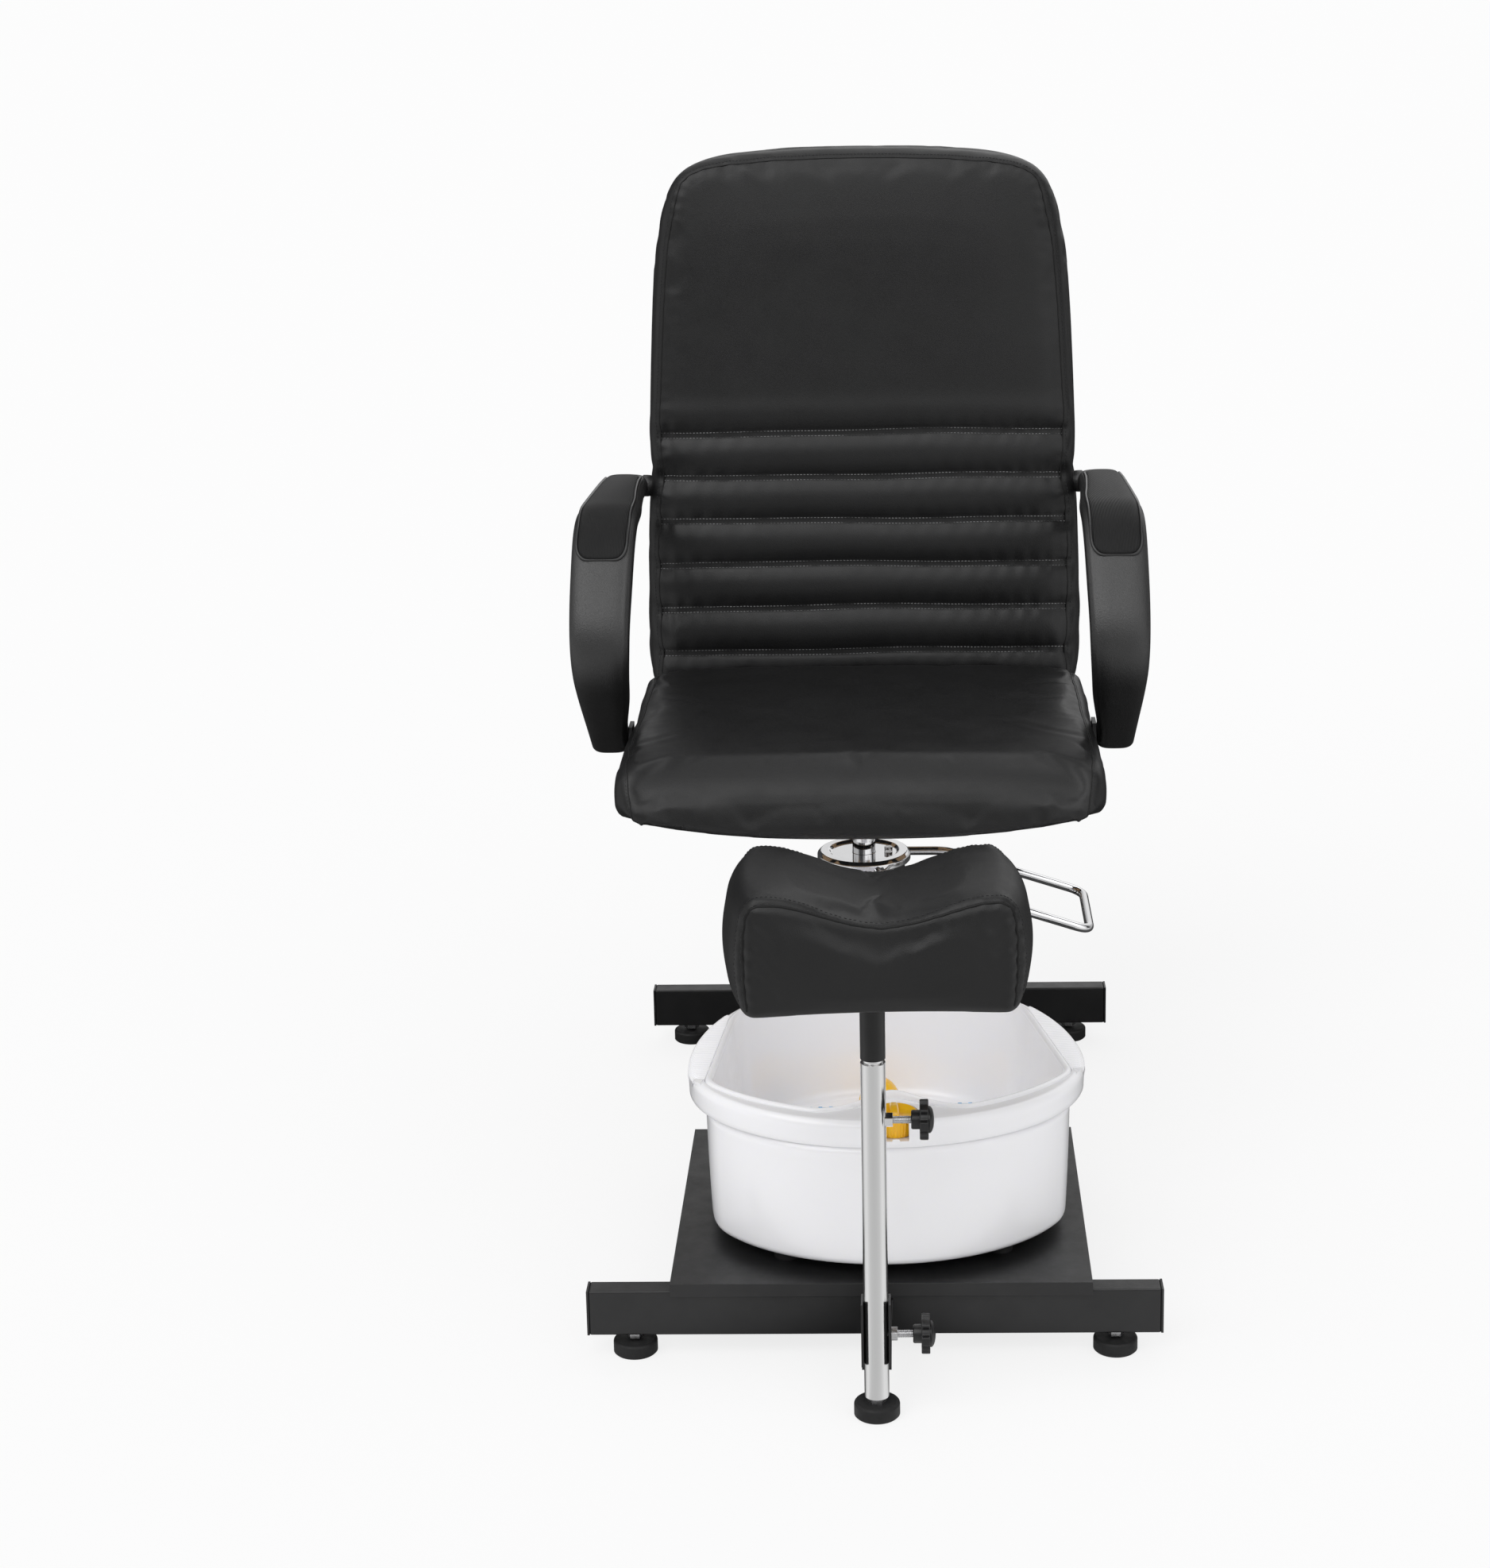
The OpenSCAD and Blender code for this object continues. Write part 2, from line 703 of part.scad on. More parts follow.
// Turned chrome cap: chamfered edge, shallow dish and the piston's bore
module pump_cap() {
  inner = piston_r + piston_gap;
  color("#d8d8da") difference() {
    translate([0, pump_y, pump_top]) rotate_extrude()
      polygon([
        [inner, 0], [pump_cap_r - pump_cap_chamfer / 2, 0], [pump_cap_r, pump_cap_chamfer / 2],
        [pump_cap_r, pump_cap_h - pump_cap_chamfer], [pump_cap_r - pump_cap_chamfer, pump_cap_h],
        [pump_dish_r + pump_dish_depth, pump_cap_h], [pump_dish_r, pump_cap_h - pump_dish_depth],
        [inner, pump_cap_h - pump_dish_depth]
      ]);
    at_cap_screws() translate([0, 0, -pump_cap_h - over])
      cylinder(r = cap_screw_r, h = pump_cap_h + 2 * over);
  }
}

// Places of the two small screws, at the floor of the cap's dish
module at_cap_screws() {
  for (side = [-1, 1])
    translate([cap_screw_x, pump_y + side * cap_screw_pitch / 2, cap_top - pump_dish_depth])
      children();
}

module cap_screws() {
  color("#c4c4c6") at_cap_screws() {
    cylinder(r = 2 * cap_screw_r - over, h = cap_screw_r);
    translate([0, 0, pump_dish_depth - pump_cap_h])
      cylinder(r = cap_screw_r, h = pump_cap_h - pump_dish_depth + cap_screw_r / 2);
  }
}

// Small screws of the floor frame: the tray's and the pump cap's
module small_screws() {
  tray_screws();
  cap_screws();
}

// Rod with a wider head that slides in the cylinder
module piston() {
  top = seat_plate_z - seat_clear;
  color("#d8d8da") translate([0, pump_y, 0]) {
    translate([0, 0, piston_head_z]) cylinder(r = pump_bore_r - piston_gap, h = piston_head_h);
    translate([0, 0, piston_head_z]) cylinder(r = piston_r, h = top - piston_head_z);
  }
}

// A levelling foot: rounded pad on a threaded stud
module levelling_foot(i) {
  color("#131314") translate([foot_places[i][0], foot_places[i][1], 0]) {
    rotate_extrude() foot_profile();
    translate([0, 0, foot_h - foot_stud_depth])
      cylinder(r = foot_stud_r, h = foot_stud_l + foot_stud_depth);
  }
}

// Half section of a foot's pad
module foot_profile() {
  polygon(concat(
    [[0, 0], [foot_r - foot_round / 2, 0], [foot_r, foot_round / 2]],
    [for (a = [0 : 15 : 90])
      [foot_r - foot_round + foot_round * cos(a), foot_h - foot_round + foot_round * sin(a)]],
    [[0, foot_h]]
  ));
}

module front_left_foot() {
  levelling_foot(0);
}

module front_right_foot() {
  levelling_foot(1);
}

module rear_left_foot() {
  levelling_foot(2);
}

module rear_right_foot() {
  levelling_foot(3);
}

// Jam nuts welded under the rails
module foot_nuts() {
  color("#c9c9cc")
    for (p = foot_places)
      translate([p[0], p[1], rail_z - foot_nut_h]) difference() {
        hexagon(foot_nut_w, foot_nut_h);
        translate([0, 0, -over]) cylinder(r = foot_stud_r + stud_gap, h = foot_nut_h + 2 * over);
      }
}

// Box arm from the rail to the cradle, with a weld bead on each side
module post_arm() {
  cradle_back = post_y + post_r + cradle_gap + cradle_wall;
  color("#19191a") {
    translate([post_x - bracket_w / 2, cradle_back, bracket_z])
      cube([bracket_w, front_y - cradle_back, bracket_h]);
    for (side = [-1, 1])
      translate([post_x + side * bracket_w / 2, front_y - weld_r, bracket_z])
        cylinder(r = weld_r, h = bracket_h);
  }
}

// Channel open to the front, with the clamp screw's hole in its right wall
module post_cradle() {
  half = post_r + cradle_gap;
  depth = cradle_reach + half + cradle_wall;
  color("#19191a") difference() {
    translate([post_x - half - cradle_wall, post_y - cradle_reach, cradle_z])
      cube([2 * (half + cradle_wall), depth, cradle_h]);
    translate([post_x - half, post_y - cradle_reach - over, cradle_z - over])
      cube([2 * half, cradle_reach + half + over, cradle_h + 2 * over]);
    translate([post_x, post_y, clamp_lower_z]) rotate([0, 90, 0])
      cylinder(r = clamp_r + clamp_gap, h = half + cradle_wall + over);
  }
}

// Hexagon nut lying along X with a screw's bore
module clamp_nut(x, z) {
  translate([post_x + x, post_y, z]) rotate([0, 90, 0]) difference() {
    hexagon(clamp_nut_w, clamp_nut_h);
    translate([0, 0, -over]) cylinder(r = clamp_r + clamp_gap, h = clamp_nut_h + 2 * over);
  }
}

module cradle_nut() {
  color("#c9c9cc") clamp_nut(post_r + cradle_gap + cradle_wall, clamp_lower_z);
}

// Chrome tube with the clamp screw's hole in its right side
module outer_post() {
  color("#cfcfd2") difference() {
    translate([post_x, post_y, post_low]) cylinder(r = post_r, h = post_top - post_low);
    translate([post_x, post_y, post_low - over])
      cylinder(r = inner_r + post_gap, h = post_top - post_low + 2 * over);
    translate([post_x, post_y, clamp_upper_z]) rotate([0, 90, 0])
      cylinder(r = clamp_r + clamp_gap, h = post_r + over);
  }
}

// Nut welded on the outer tube: its inner end is hollowed to sit on the tube
module post_nut() {
  color("#cfcfd2") difference() {
    translate([post_x + inner_r, post_y, clamp_upper_z]) rotate([0, 90, 0])
      hexagon(clamp_nut_w, post_r - inner_r + clamp_nut_h);
    translate([post_x, post_y, clamp_upper_z - clamp_nut_w])
      cylinder(r = post_r, h = 2 * clamp_nut_w);
    translate([post_x, post_y, clamp_upper_z]) rotate([0, 90, 0])
      cylinder(r = clamp_r + clamp_gap, h = post_r + clamp_nut_h + over);
  }
}

// Rubber foot under the post
module post_foot() {
  color("#161617") translate([post_x, post_y, 0]) difference() {
    rotate_extrude() foot_profile();
    translate([0, 0, foot_h - foot_stud_depth])
      cylinder(r = foot_stud_r, h = foot_stud_depth + over);
  }
}

// Steel plug in the tube's end, its hexagon and the stud down into the foot
module post_ferrule() {
  color("#b9b9bc") translate([post_x, post_y, 0]) {
    translate([0, 0, foot_h - foot_stud_depth])
      cylinder(r = foot_stud_r, h = foot_stud_depth + over);
    translate([0, 0, foot_h]) hexagon(foot_nut_w, post_low - foot_h);
    translate([0, 0, post_low - over])
      cylinder(r = inner_r - ferrule_wall, h = foot_stud_depth + over);
  }
}

module inner_post() {
  color("#cfcfd2") translate([post_x, post_y, inner_low])
    cylinder(r = inner_r, h = pad_plate_z - seat_clear - inner_low);
}

// Black sleeve that the inner post turns in
module footrest_socket() {
  color("#19191a") translate([post_x, post_y, socket_z]) difference() {
    cylinder(r = post_r, h = socket_h);
    translate([0, 0, -over]) cylinder(r = inner_r + post_gap, h = socket_h + 2 * over);
  }
}

// Frame of the footrest's top, turned about the post
module on_footrest() {
  translate([post_x, post_y, 0]) rotate([0, 0, pad_turn]) children();
}

// Places of the four screws through the footrest's plate
module at_pad_screws() {
  for (sx = [-1, 1]) for (sy = [-1, 1])
    translate([
      sx * (pad_plate_w / 2 - pad_screw_inset), sy * (pad_plate_d / 2 - pad_screw_inset), 0
    ]) children();
}

module footrest_plate() {
  color("#19191a") on_footrest() difference() {
    translate([-pad_plate_w / 2, -pad_plate_d / 2, pad_plate_z])
      cube([pad_plate_w, pad_plate_d, pad_plate_t]);
    at_pad_screws() translate([0, 0, pad_plate_z - over])
      cylinder(r = pad_screw_r, h = pad_plate_t + 2 * over);
  }
}

module footrest_board() {
  color("#8a6a45") on_footrest() difference() {
    translate([-pad_board_w / 2, -pad_board_d / 2, pad_z])
      cube([pad_board_w, pad_board_d, pad_board_t]);
    at_pad_screws() translate([0, 0, pad_z - over])
      cylinder(r = pad_screw_r, h = pad_board_t);
  }
}

module footrest_screws() {
  color("#b9b9bc") on_footrest() at_pad_screws() {
    translate([0, 0, pad_plate_z - pad_screw_r])
      cylinder(r = 2 * pad_screw_r - over, h = pad_screw_r);
    translate([0, 0, pad_plate_z - pad_screw_r / 2])
      cylinder(r = pad_screw_r, h = pad_plate_t + pad_screw_r / 2 + pad_board_t - 2 * over);
  }
}

// Points of a padded section: u across, v up, flat foot, rounded corners, crowned top.
// The list runs once round, from the lower left corner to the right.
function padded_section(half, low, high, r_low, r_high, crown, steps) = concat(
  [for (a = [180 : 30 : 270]) [-half + r_low + r_low * cos(a), low + r_low + r_low * sin(a)]],
  [for (a = [270 : 30 : 360]) [half - r_low + r_low * cos(a), low + r_low + r_low * sin(a)]],
  [for (a = [0 : 22.5 : 67.5])
    [half - r_high + r_high * cos(a), high - r_high + r_high * sin(a)]],
  [for (i = [0 : steps])
    let (t = 1 - 2 * i / steps)
      [(half - r_high) * t, high + crown * (1 - t * t)]],
  [for (a = [112.5 : 22.5 : 180])
    [-half + r_high + r_high * cos(a), high - r_high + r_high * sin(a)]]
);

// Closed skin over rings that hold the same number of points
module skin(rings) {
  n = len(rings[0]);
  m = len(rings);
  points = concat([for (r = rings) each r], [mean(rings[0]), mean(rings[m - 1])]);
  sides = [for (i = [0 : m - 2]) for (j = [0 : n - 1]) let (k = (j + 1) % n)
    each [[i * n + j, (i + 1) * n + k, i * n + k], [i * n + j, (i + 1) * n + j, (i + 1) * n + k]]];
  first = [for (j = [0 : n - 1]) [j, (j + 1) % n, m * n]];
  last = [for (j = [0 : n - 1]) [(m - 1) * n + (j + 1) % n, (m - 1) * n + j, m * n + 1]];
  polyhedron(points, concat(sides, first, last), convexity = 8);
}

// Centre of a ring of points
function mean(ring) = [for (i = [0 : 2]) sum([for (p = ring) p[i]]) / len(ring)];
function sum(v, i = 0) = i == len(v) ? 0 : v[i] + sum(v, i + 1);

// Stations of a rounded end: how far along and how far drawn in, both as shares
end_shares = [for (a = [0 : 22.5 : 90]) [1 - sin(a), 1 - cos(a)]];

// Seat cushion: waterfall front, crown, and a body that narrows between the armrests
module seat_cushion() {
  body = seat_l - 2 * seat_round - seat_edge_r;
  stations = concat(
    [for (e = reverse(end_shares)) seat_round * e],
    [for (i = [0 : seat_steps - 1]) [2 * seat_round + body * i / seat_steps, 0]],
    [for (e = end_shares) [seat_l - seat_edge_r * e[0], seat_edge_r * e[1]]]
  );
  color("#262627") skin([for (s = stations) seat_ring(s[0], s[1])]);
}

function reverse(v) = [for (i = [len(v) - 1 : -1 : 0]) v[i]];

// Smooth step from 0 to 1
function ease(t) = let (c = min(1, max(0, t))) (3 - 2 * c) * c * c;

// Half width of the seat at a distance from its front edge
function seat_half(d) =
  seat_w / 2 + (seat_rear_w - seat_w) / 2
    * ease((d - seat_round) / (arm_front_y - seat_ahead - seat_round));

// One cross ring of the seat at a distance from its front edge, drawn in by an inset
function seat_ring(d, inset) =
  let (
    half = seat_half(d) - inset * end_draw_share,
    lip = seat_lip * max(0, 1 - d / (2 * seat_round)),
    low = seat_z - lip + min(inset, seat_t * third_share),
    high = seat_z + seat_t - seat_fall * d / seat_l - inset,
    edge = min(seat_edge_r, (high - low) * third_share)
  )
  [for (p = padded_section(half, low, high, edge / 2, edge, seat_crown, soft_fn))
    [p[0], front_y + seat_ahead + d, p[1]]];

// Frame of the backrest: origin at its lower front edge, Z up its plane, Y into its depth
module on_back() {
  translate([0, front_y + back_face_low, back_low]) rotate([-back_lean, 0, 0]) children();
}

// Half width of the backrest at a height along its plane
function back_half(h) =
  let (t = max(0, (h / back_h - back_narrow_share) / (1 - back_narrow_share)))
    back_w / 2 - (back_w - back_top_w) / 2 * t * t;

// Drawn-in depth of the sewn channels at a height
function channel_cut(h) = channel_depth * max([for (i = [0 : channel_count - 1])
  max(0, 1 - abs(h - channel_low - i * channel_pitch) / channel_half)]);

// Backrest cushion: rounded top corners, crown and sewn cross channels
module back_cushion() {
  smooth_low = channel_low + channel_count * channel_pitch;
  stations = concat(
    [for (e = reverse(end_shares)) seat_edge_r * e],
    [for (i = [0 : channel_count - 1]) for (s = channel_shares)
      [channel_low + i * channel_pitch + s * channel_half, 0]],
    [for (i = [0 : smooth_steps - 1])
      [smooth_low + (back_h - back_corner - smooth_low) * i / smooth_steps, 0]],
    [for (a = [0 : 11.25 : 90])
      [back_h - back_corner * (1 - sin(a)), back_corner * (1 - cos(a))]]
  );
  color("#262627") on_back() skin([for (s = stations) back_ring(s[0], s[1])]);
}

// One cross ring of the backrest at a height, drawn in by an inset
function back_ring(h, inset) =
  let (
    half = back_half(h) - inset,
    thin = max(0, 1 - (back_h - h) / seat_round),
    thin_low = max(0, 1 - h / seat_edge_r),
    depth_in = seat_round * slim_share * (1 - sqrt(1 - thin * thin))
      + seat_edge_r * slim_share * thin_low * thin_low,
    edge = seat_edge_r
  )
  [for (p = padded_section(
      half, -back_t + min(depth_in, edge), -channel_cut(h) - depth_in, edge / 2, edge,
      back_crown * min(1, (back_h - h) / back_corner + crown_start_share, h / back_corner),
      soft_fn))
    [-p[0], -p[1], h]];

// Footrest cushion: saddle top, flat front, bulging ends and a recess for its board
module footrest_pad() {
  flat = pad_w / 2 - pad_bulge;
  ends = [for (a = [0 : 22.5 : 90]) [flat + pad_bulge * sin(a), 1 - cos(a)]];
  stations = concat(
    [for (e = reverse(ends)) [-e[0], e[1]]],
    [for (i = [1 : pad_steps - 1]) [flat * (2 * i / pad_steps - 1), 0]],
    ends
  );
  color("#262627") on_footrest() difference() {
    translate([pad_shift, 0, 0]) skin([for (s = stations) pad_ring(s[0], s[1])]);
    translate([-pad_board_w / 2, -pad_board_d / 2, pad_z - pad_board_t])
      cube([pad_board_w, pad_board_d, 2 * pad_board_t]);
  }
}

// Height of the saddle at a place along the pad, from 0 in its middle to 1 at its peaks
function saddle(x) = (1 - cos(180 * min(1, abs(x) / (pad_w / 2 - pad_bulge) / saddle_share))) / 2;

// One cross ring of the footrest pad at a place along its width
function pad_ring(x, draw) =
  let (
    inset = pad_bulge * draw,
    high = pad_z + pad_h - pad_dip * (1 - saddle(x)) - inset * pad_end_drop_share,
    low = pad_z + inset * end_draw_share
  )
  [for (p = padded_section(pad_d / 2 - inset * end_draw_share, low, high, pad_edge_r / 2,
      pad_edge_r, pad_crown, soft_fn))
    [x, p[0], p[1]]];

// Steel plate with the hub that turns on the piston
module seat_plate() {
  color("#19191a") translate([0, pump_y, 0]) difference() {
    union() {
      translate([-seat_plate_w / 2, -seat_plate_w / 2, seat_plate_z])
        cube([seat_plate_w, seat_plate_w, seat_plate_t]);
      translate([0, 0, seat_plate_z - hub_h]) cylinder(r = hub_r, h = hub_h + seat_plate_t / 2);
    }
    translate([0, 0, seat_plate_z - hub_h - over])
      cylinder(r = piston_r + piston_gap, h = hub_h + over);
    at_seat_bolts() translate([0, 0, seat_plate_z - over])
      cylinder(r = seat_bolt_r, h = seat_plate_t + 2 * over);
  }
}

// Places of the four bolts through the seat plate
module at_seat_bolts() {
  place = seat_plate_w / 2 - seat_bolt_inset;
  for (sx = [-1, 1]) for (sy = [-1, 1]) translate([sx * place, sy * place, 0]) children();
}

module seat_bolts() {
  color("#b9b9bc") translate([0, pump_y, 0]) at_seat_bolts() {
    translate([0, 0, seat_plate_z - seat_bolt_head_h])
      hexagon(3 * seat_bolt_r, seat_bolt_head_h);
    translate([0, 0, seat_plate_z - seat_bolt_head_h / 2])
      cylinder(r = seat_bolt_r, h = seat_bolt_head_h / 2 + seat_plate_t + board_t / 2);
  }
}

// Plywood board under the seat cushion, with its bolt holes
module seat_board() {
  color("#8a6a45") difference() {
    translate([-board_w / 2, front_y + seat_ahead + board_inset, board_z])
      cube([board_w, board_l, board_t]);
    translate([0, pump_y, board_z - over]) at_seat_bolts()
      cylinder(r = seat_bolt_r, h = board_t / 2 + over);
  }
}

// Two bent bars from under the seat board up behind the back board
module back_bars() {
  y_board = front_y + back_face_low;
  rear = back_t + board_t;
  color("#19191a")
    for (side = [-1, 1]) translate([side * back_bar_x - back_bar_w / 2, 0, 0]) union() {
      translate([0, pump_y + seat_plate_w / 2, board_z - back_bar_t])
        cube([back_bar_w, y_board + rear + back_bar_t - pump_y - seat_plate_w / 2, back_bar_t]);
      intersection() {
        on_back() translate([0, rear, -back_low])
          cube([back_bar_w, back_bar_t, 2 * back_low]);
        translate([0, y_board - rear, board_z - back_bar_t])
          cube([back_bar_w, 4 * rear, back_bar_top - board_z]);
      }
    }
}

module back_board() {
  color("#2b2b2c") on_back()
    translate([-back_board_w / 2, back_t, (back_h - back_board_h) / 2])
      cube([back_board_w, board_t, back_board_h]);
}

// Corner points of an armrest's centre line, rear end first, as [distance back, height]
arm_corners = [
  [arm_back_y, arm_back_z], [arm_bend_y, arm_bend_z], [arm_front_y, arm_front_z],
  [arm_low_y, arm_low_z]
];

// Unit vector between two points
function along(p, q) = (q - p) / norm(q - p);

// Round stretch that replaces corner b between a and c
function round_corner(a, b, c, r, steps) =
  let (
    u = along(b, a),
    v = along(b, c),
    half = acos(u * v) / 2,
    middle = b + (u + v) / norm(u + v) * r / sin(half),
    start = b + u * r / tan(half) - middle,
    stop = b + v * r / tan(half) - middle,
    a0 = atan2(start[1], start[0]),
    sweep = atan2(
      start[0] * stop[1] - start[1] * stop[0], start[0] * stop[0] + start[1] * stop[1])
  )
  [for (i = [0 : steps]) middle + r * [cos(a0 + sweep * i / steps), sin(a0 + sweep * i / steps)]];

// Centre line of an armrest: a straight top, two bends and a straight lower run
arm_top_steps = 3;
arm_bend_steps = 7;
arm_front_steps = 10;
arm_low_steps = 3;
arm_top_share = 0.26;
arm_flare_power = 6;
arm_line = concat(
  [for (i = [0 : arm_top_steps])
    arm_corners[0] + (arm_corners[1] - arm_corners[0]) * arm_top_share * i],
  round_corner(arm_corners[0], arm_corners[1], arm_corners[2], arm_bend_r, arm_bend_steps),
  round_corner(arm_corners[1], arm_corners[2], arm_corners[3], arm_front_r, arm_front_steps),
  [for (i = [1 : arm_low_steps])
    arm_corners[2] + (arm_corners[3] - arm_corners[2]) * (1 + i) / (1 + arm_low_steps)]
);
arm_n = len(arm_line);
arm_pad_last = arm_top_steps + arm_bend_steps - 1;

// Inner and outer sideways places of an armrest at a point of its line, its end straight
function arm_low_share(i) = max(0, min(1, (i - arm_pad_last) / (arm_n - 2 - arm_pad_last)));
function arm_inner(i) =
  arm_back_in + (arm_in - arm_back_in) * ease((i - 1) / (arm_top_steps - 1))
    + (arm_low_in - arm_in) * pow(arm_low_share(i), 4);
function arm_outer(i) = i < arm_pad_last
  ? arm_in + arm_w - (arm_in + arm_w - arm_back_in - arm_back_w)
    * pow(1 - i / arm_pad_last, arm_flare_power)
  : arm_in + arm_w + (arm_low_in + arm_low_w - arm_in - arm_w) * pow(arm_low_share(i), 2);

// Direction of an armrest's line at a point
function arm_dir(i) = along(arm_line[max(0, i - 1)], arm_line[min(arm_n - 1, i + 1)]);

// One ring across the strip: inner edge, outer edge, under and over the centre line
function arm_ring(i, inner, outer, under, above, r) =
  let (
    p = arm_line[i],
    d = arm_dir(i),
    over_dir = [d[1], -d[0]]
  )
  [for (c = [
      [inner + r, -under + r, 180], [outer - r, -under + r, 270],
      [outer - r, above - r, 0], [inner + r, above - r, 90]])
    for (a = [0 : 30 : 90])
      let (w = c[1] + r * sin(c[2] + a))
      [c[0] + r * cos(c[2] + a), front_y + p[0] + w * over_dir[0], p[1] + w * over_dir[1]]];

// Loop armrest on the right: swept strip with a boss at each end
module arm_body() {
  difference() {
    skin([for (i = [0 : arm_n - 1])
      arm_ring(i, arm_inner(i), arm_outer(i), arm_t / 2, arm_t / 2, arm_round)]);
    at_rear_bolt(0) cylinder(r = arm_bolt_r, h = arm_back_in + arm_bolt_depth);
    at_low_bolt(0) cylinder(r = arm_bolt_r, h = arm_low_in + arm_bolt_depth);
  }
}

// Places of an armrest's two bolts, each with its axis towards the outside
module at_rear_bolt(x) {
  at_bolt(x, arm_corners[0] + along(arm_corners[0], arm_corners[1]) * arm_boss_r) children();
}

module at_low_bolt(x) {
  at_bolt(x, arm_corners[3] + along(arm_corners[3], arm_corners[2]) * arm_boss_r) children();
}

module at_bolt(x, p) {
  translate([x, front_y + p[0], p[1]]) rotate([0, 90, 0]) children();
}

module arm(side) {
  color("#1c1c1d") mirror([side < 0 ? 1 : 0, 0, 0]) arm_body();
}

module left_arm() {
  arm(-1);
}

module right_arm() {
  arm(1);
}

// Soft inset pad over the top of an armrest
module arm_pad(side) {
  color("#242425") mirror([side < 0 ? 1 : 0, 0, 0])
    skin([for (i = [1 : arm_pad_last])
      arm_ring(i, arm_inner(i) + arm_pad_inset, arm_outer(i) - arm_pad_inset,
        -arm_t / 2, arm_t / 2 + arm_pad_t, arm_pad_t / 3)]);
}

module left_arm_pad() {
  arm_pad(-1);
}

module right_arm_pad() {
  arm_pad(1);
}

// Steel bar under the seat board with an upturned ear beside each armrest
module arm_bar() {
  ear = arm_low_z + 2 * arm_boss_r - board_z + arm_bar_t;
  y = front_y + arm_low_y - arm_boss_r - arm_bar_w / 2;
  color("#19191a") difference() {
    union() {
      for (side = [-1, 1]) mirror([side < 0 ? 1 : 0, 0, 0]) {
        translate([seat_plate_w / 2, y, board_z - arm_bar_t])
          cube([arm_low_in - seat_clear - seat_plate_w / 2, arm_bar_w, arm_bar_t]);
        translate([arm_low_in - seat_clear - arm_bar_t, y, board_z - arm_bar_t])
          cube([arm_bar_t, arm_bar_w, ear]);
      }
    }
    for (side = [-1, 1]) mirror([side < 0 ? 1 : 0, 0, 0])
      at_low_bolt(arm_low_in - arm_bar_t - seat_clear - over)
        cylinder(r = arm_bolt_r, h = arm_bar_t + 2 * over);
  }
}

// Bolts that hold the armrests
module arm_bolts() {
  color("#2a2a2b")
    for (side = [-1, 1]) mirror([side < 0 ? 1 : 0, 0, 0]) {
      at_rear_bolt(arm_back_in - arm_bolt_depth)
        cylinder(r = arm_bolt_r, h = 2 * arm_bolt_depth - over);
      at_low_bolt(arm_low_in - arm_bar_t - seat_clear)
        cylinder(r = arm_bolt_r, h = arm_bar_t + arm_bolt_depth - over);
    }
}

// Centre line of one pedal arm from the shaft to the middle of the end bar, at +Y
function pedal_half_line() =
  let (
    half = pedal_w / 2,
    end_x = pedal_reach - pedal_r,
    knee = [end_x - pedal_slope_l * cos(pedal_slope), pedal_shaft_z],
    u = [cos(pedal_slope), -sin(pedal_slope)],
    straight = pedal_slope_l - pedal_round
  )
  concat(
    [[pedal_shaft_x + pedal_shaft_r, half, pedal_shaft_z]],
    [for (t = [-1, 0, 1])
      let (p = knee + (t > 0 ? u : [1, 0]) * t * pedal_round / 2) [p[0], half, p[1]]],
    [for (a = [0 : 15 : 90])
      let (p = knee + u * (straight + pedal_round * sin(a)))
        [p[0], half - pedal_round * (1 - cos(a)), p[1]]]
  );

// Rings of a round rod along a line of points, with an upright reference direction
function rod_rings(line, r, sides) =
  [for (i = [0 : len(line) - 1])
    let (
      d = along(line[max(0, i - 1)], line[min(len(line) - 1, i + 1)]),
      side = cross(d, [0, 0, 1]) / norm(cross(d, [0, 0, 1])),
      up = cross(side, d)
    )
    [for (j = [0 : sides - 1])
      line[i] + r * (cos(360 * j / sides) * up + sin(360 * j / sides) * side)]];

// Chrome loop: two sloping arms joined by an end bar, level where they meet the shaft
module pedal_loop() {
  half = pedal_half_line();
  line = concat(half, [for (p = reverse(half)) [p[0], -p[1], p[2]]]);
  color("#d8d8da") translate([0, pump_y, 0]) skin(rod_rings(line, pedal_r, 12));
}

// Shaft through the cylinder with a boss for each arm of the loop
module pedal_shaft() {
  l = pedal_w + 2 * pedal_r;
  color("#c4c4c6") translate([pedal_shaft_x, pump_y - l / 2, pedal_shaft_z])
    rotate([-90, 0, 0]) {
      cylinder(r = pedal_shaft_r, h = l);
      for (z = [0, pedal_w]) translate([0, 0, z])
        cylinder(r = pedal_shaft_r + pedal_r, h = 2 * pedal_r);
    }
}

// Threaded screw along X from its tip to inside the knob
module clamp_screw(tip, z) {
  color("#c4c4c6") translate([post_x + tip + clamp_tip_gap, post_y, z]) rotate([0, 90, 0])
    cylinder(r = clamp_r, h = clamp_stud_l - tip - clamp_tip_gap);
}

// Star knob: hub, lobes and a round cap, with the bore that turns on its screw
module clamp_knob(z) {
  lobe = knob_r * knob_lobe_share;
  color("#141415") translate([post_x + knob_start, post_y, z]) rotate([0, 90, 0]) difference() {
    union() {
      cylinder(r = knob_hub_r, h = knob_hub_l + knob_t / 2);
      translate([0, 0, knob_hub_l]) {
        cylinder(r = knob_r - lobe, h = knob_t);
        for (i = [0 : knob_lobes - 1]) rotate([0, 0, 360 * i / knob_lobes])
          translate([knob_r - lobe, 0, 0]) cylinder(r = lobe, h = knob_t);
        translate([0, 0, knob_t]) cylinder(r1 = knob_hub_r + over, r2 = knob_hub_r / 2, h = knob_cap_h);
      }
    }
    translate([0, 0, -over]) cylinder(r = clamp_r + clamp_gap, h = knob_hub_l + over + clamp_tip_gap);
  }
}

module upper_clamp_screw() {
  clamp_screw(inner_r, clamp_upper_z);
}

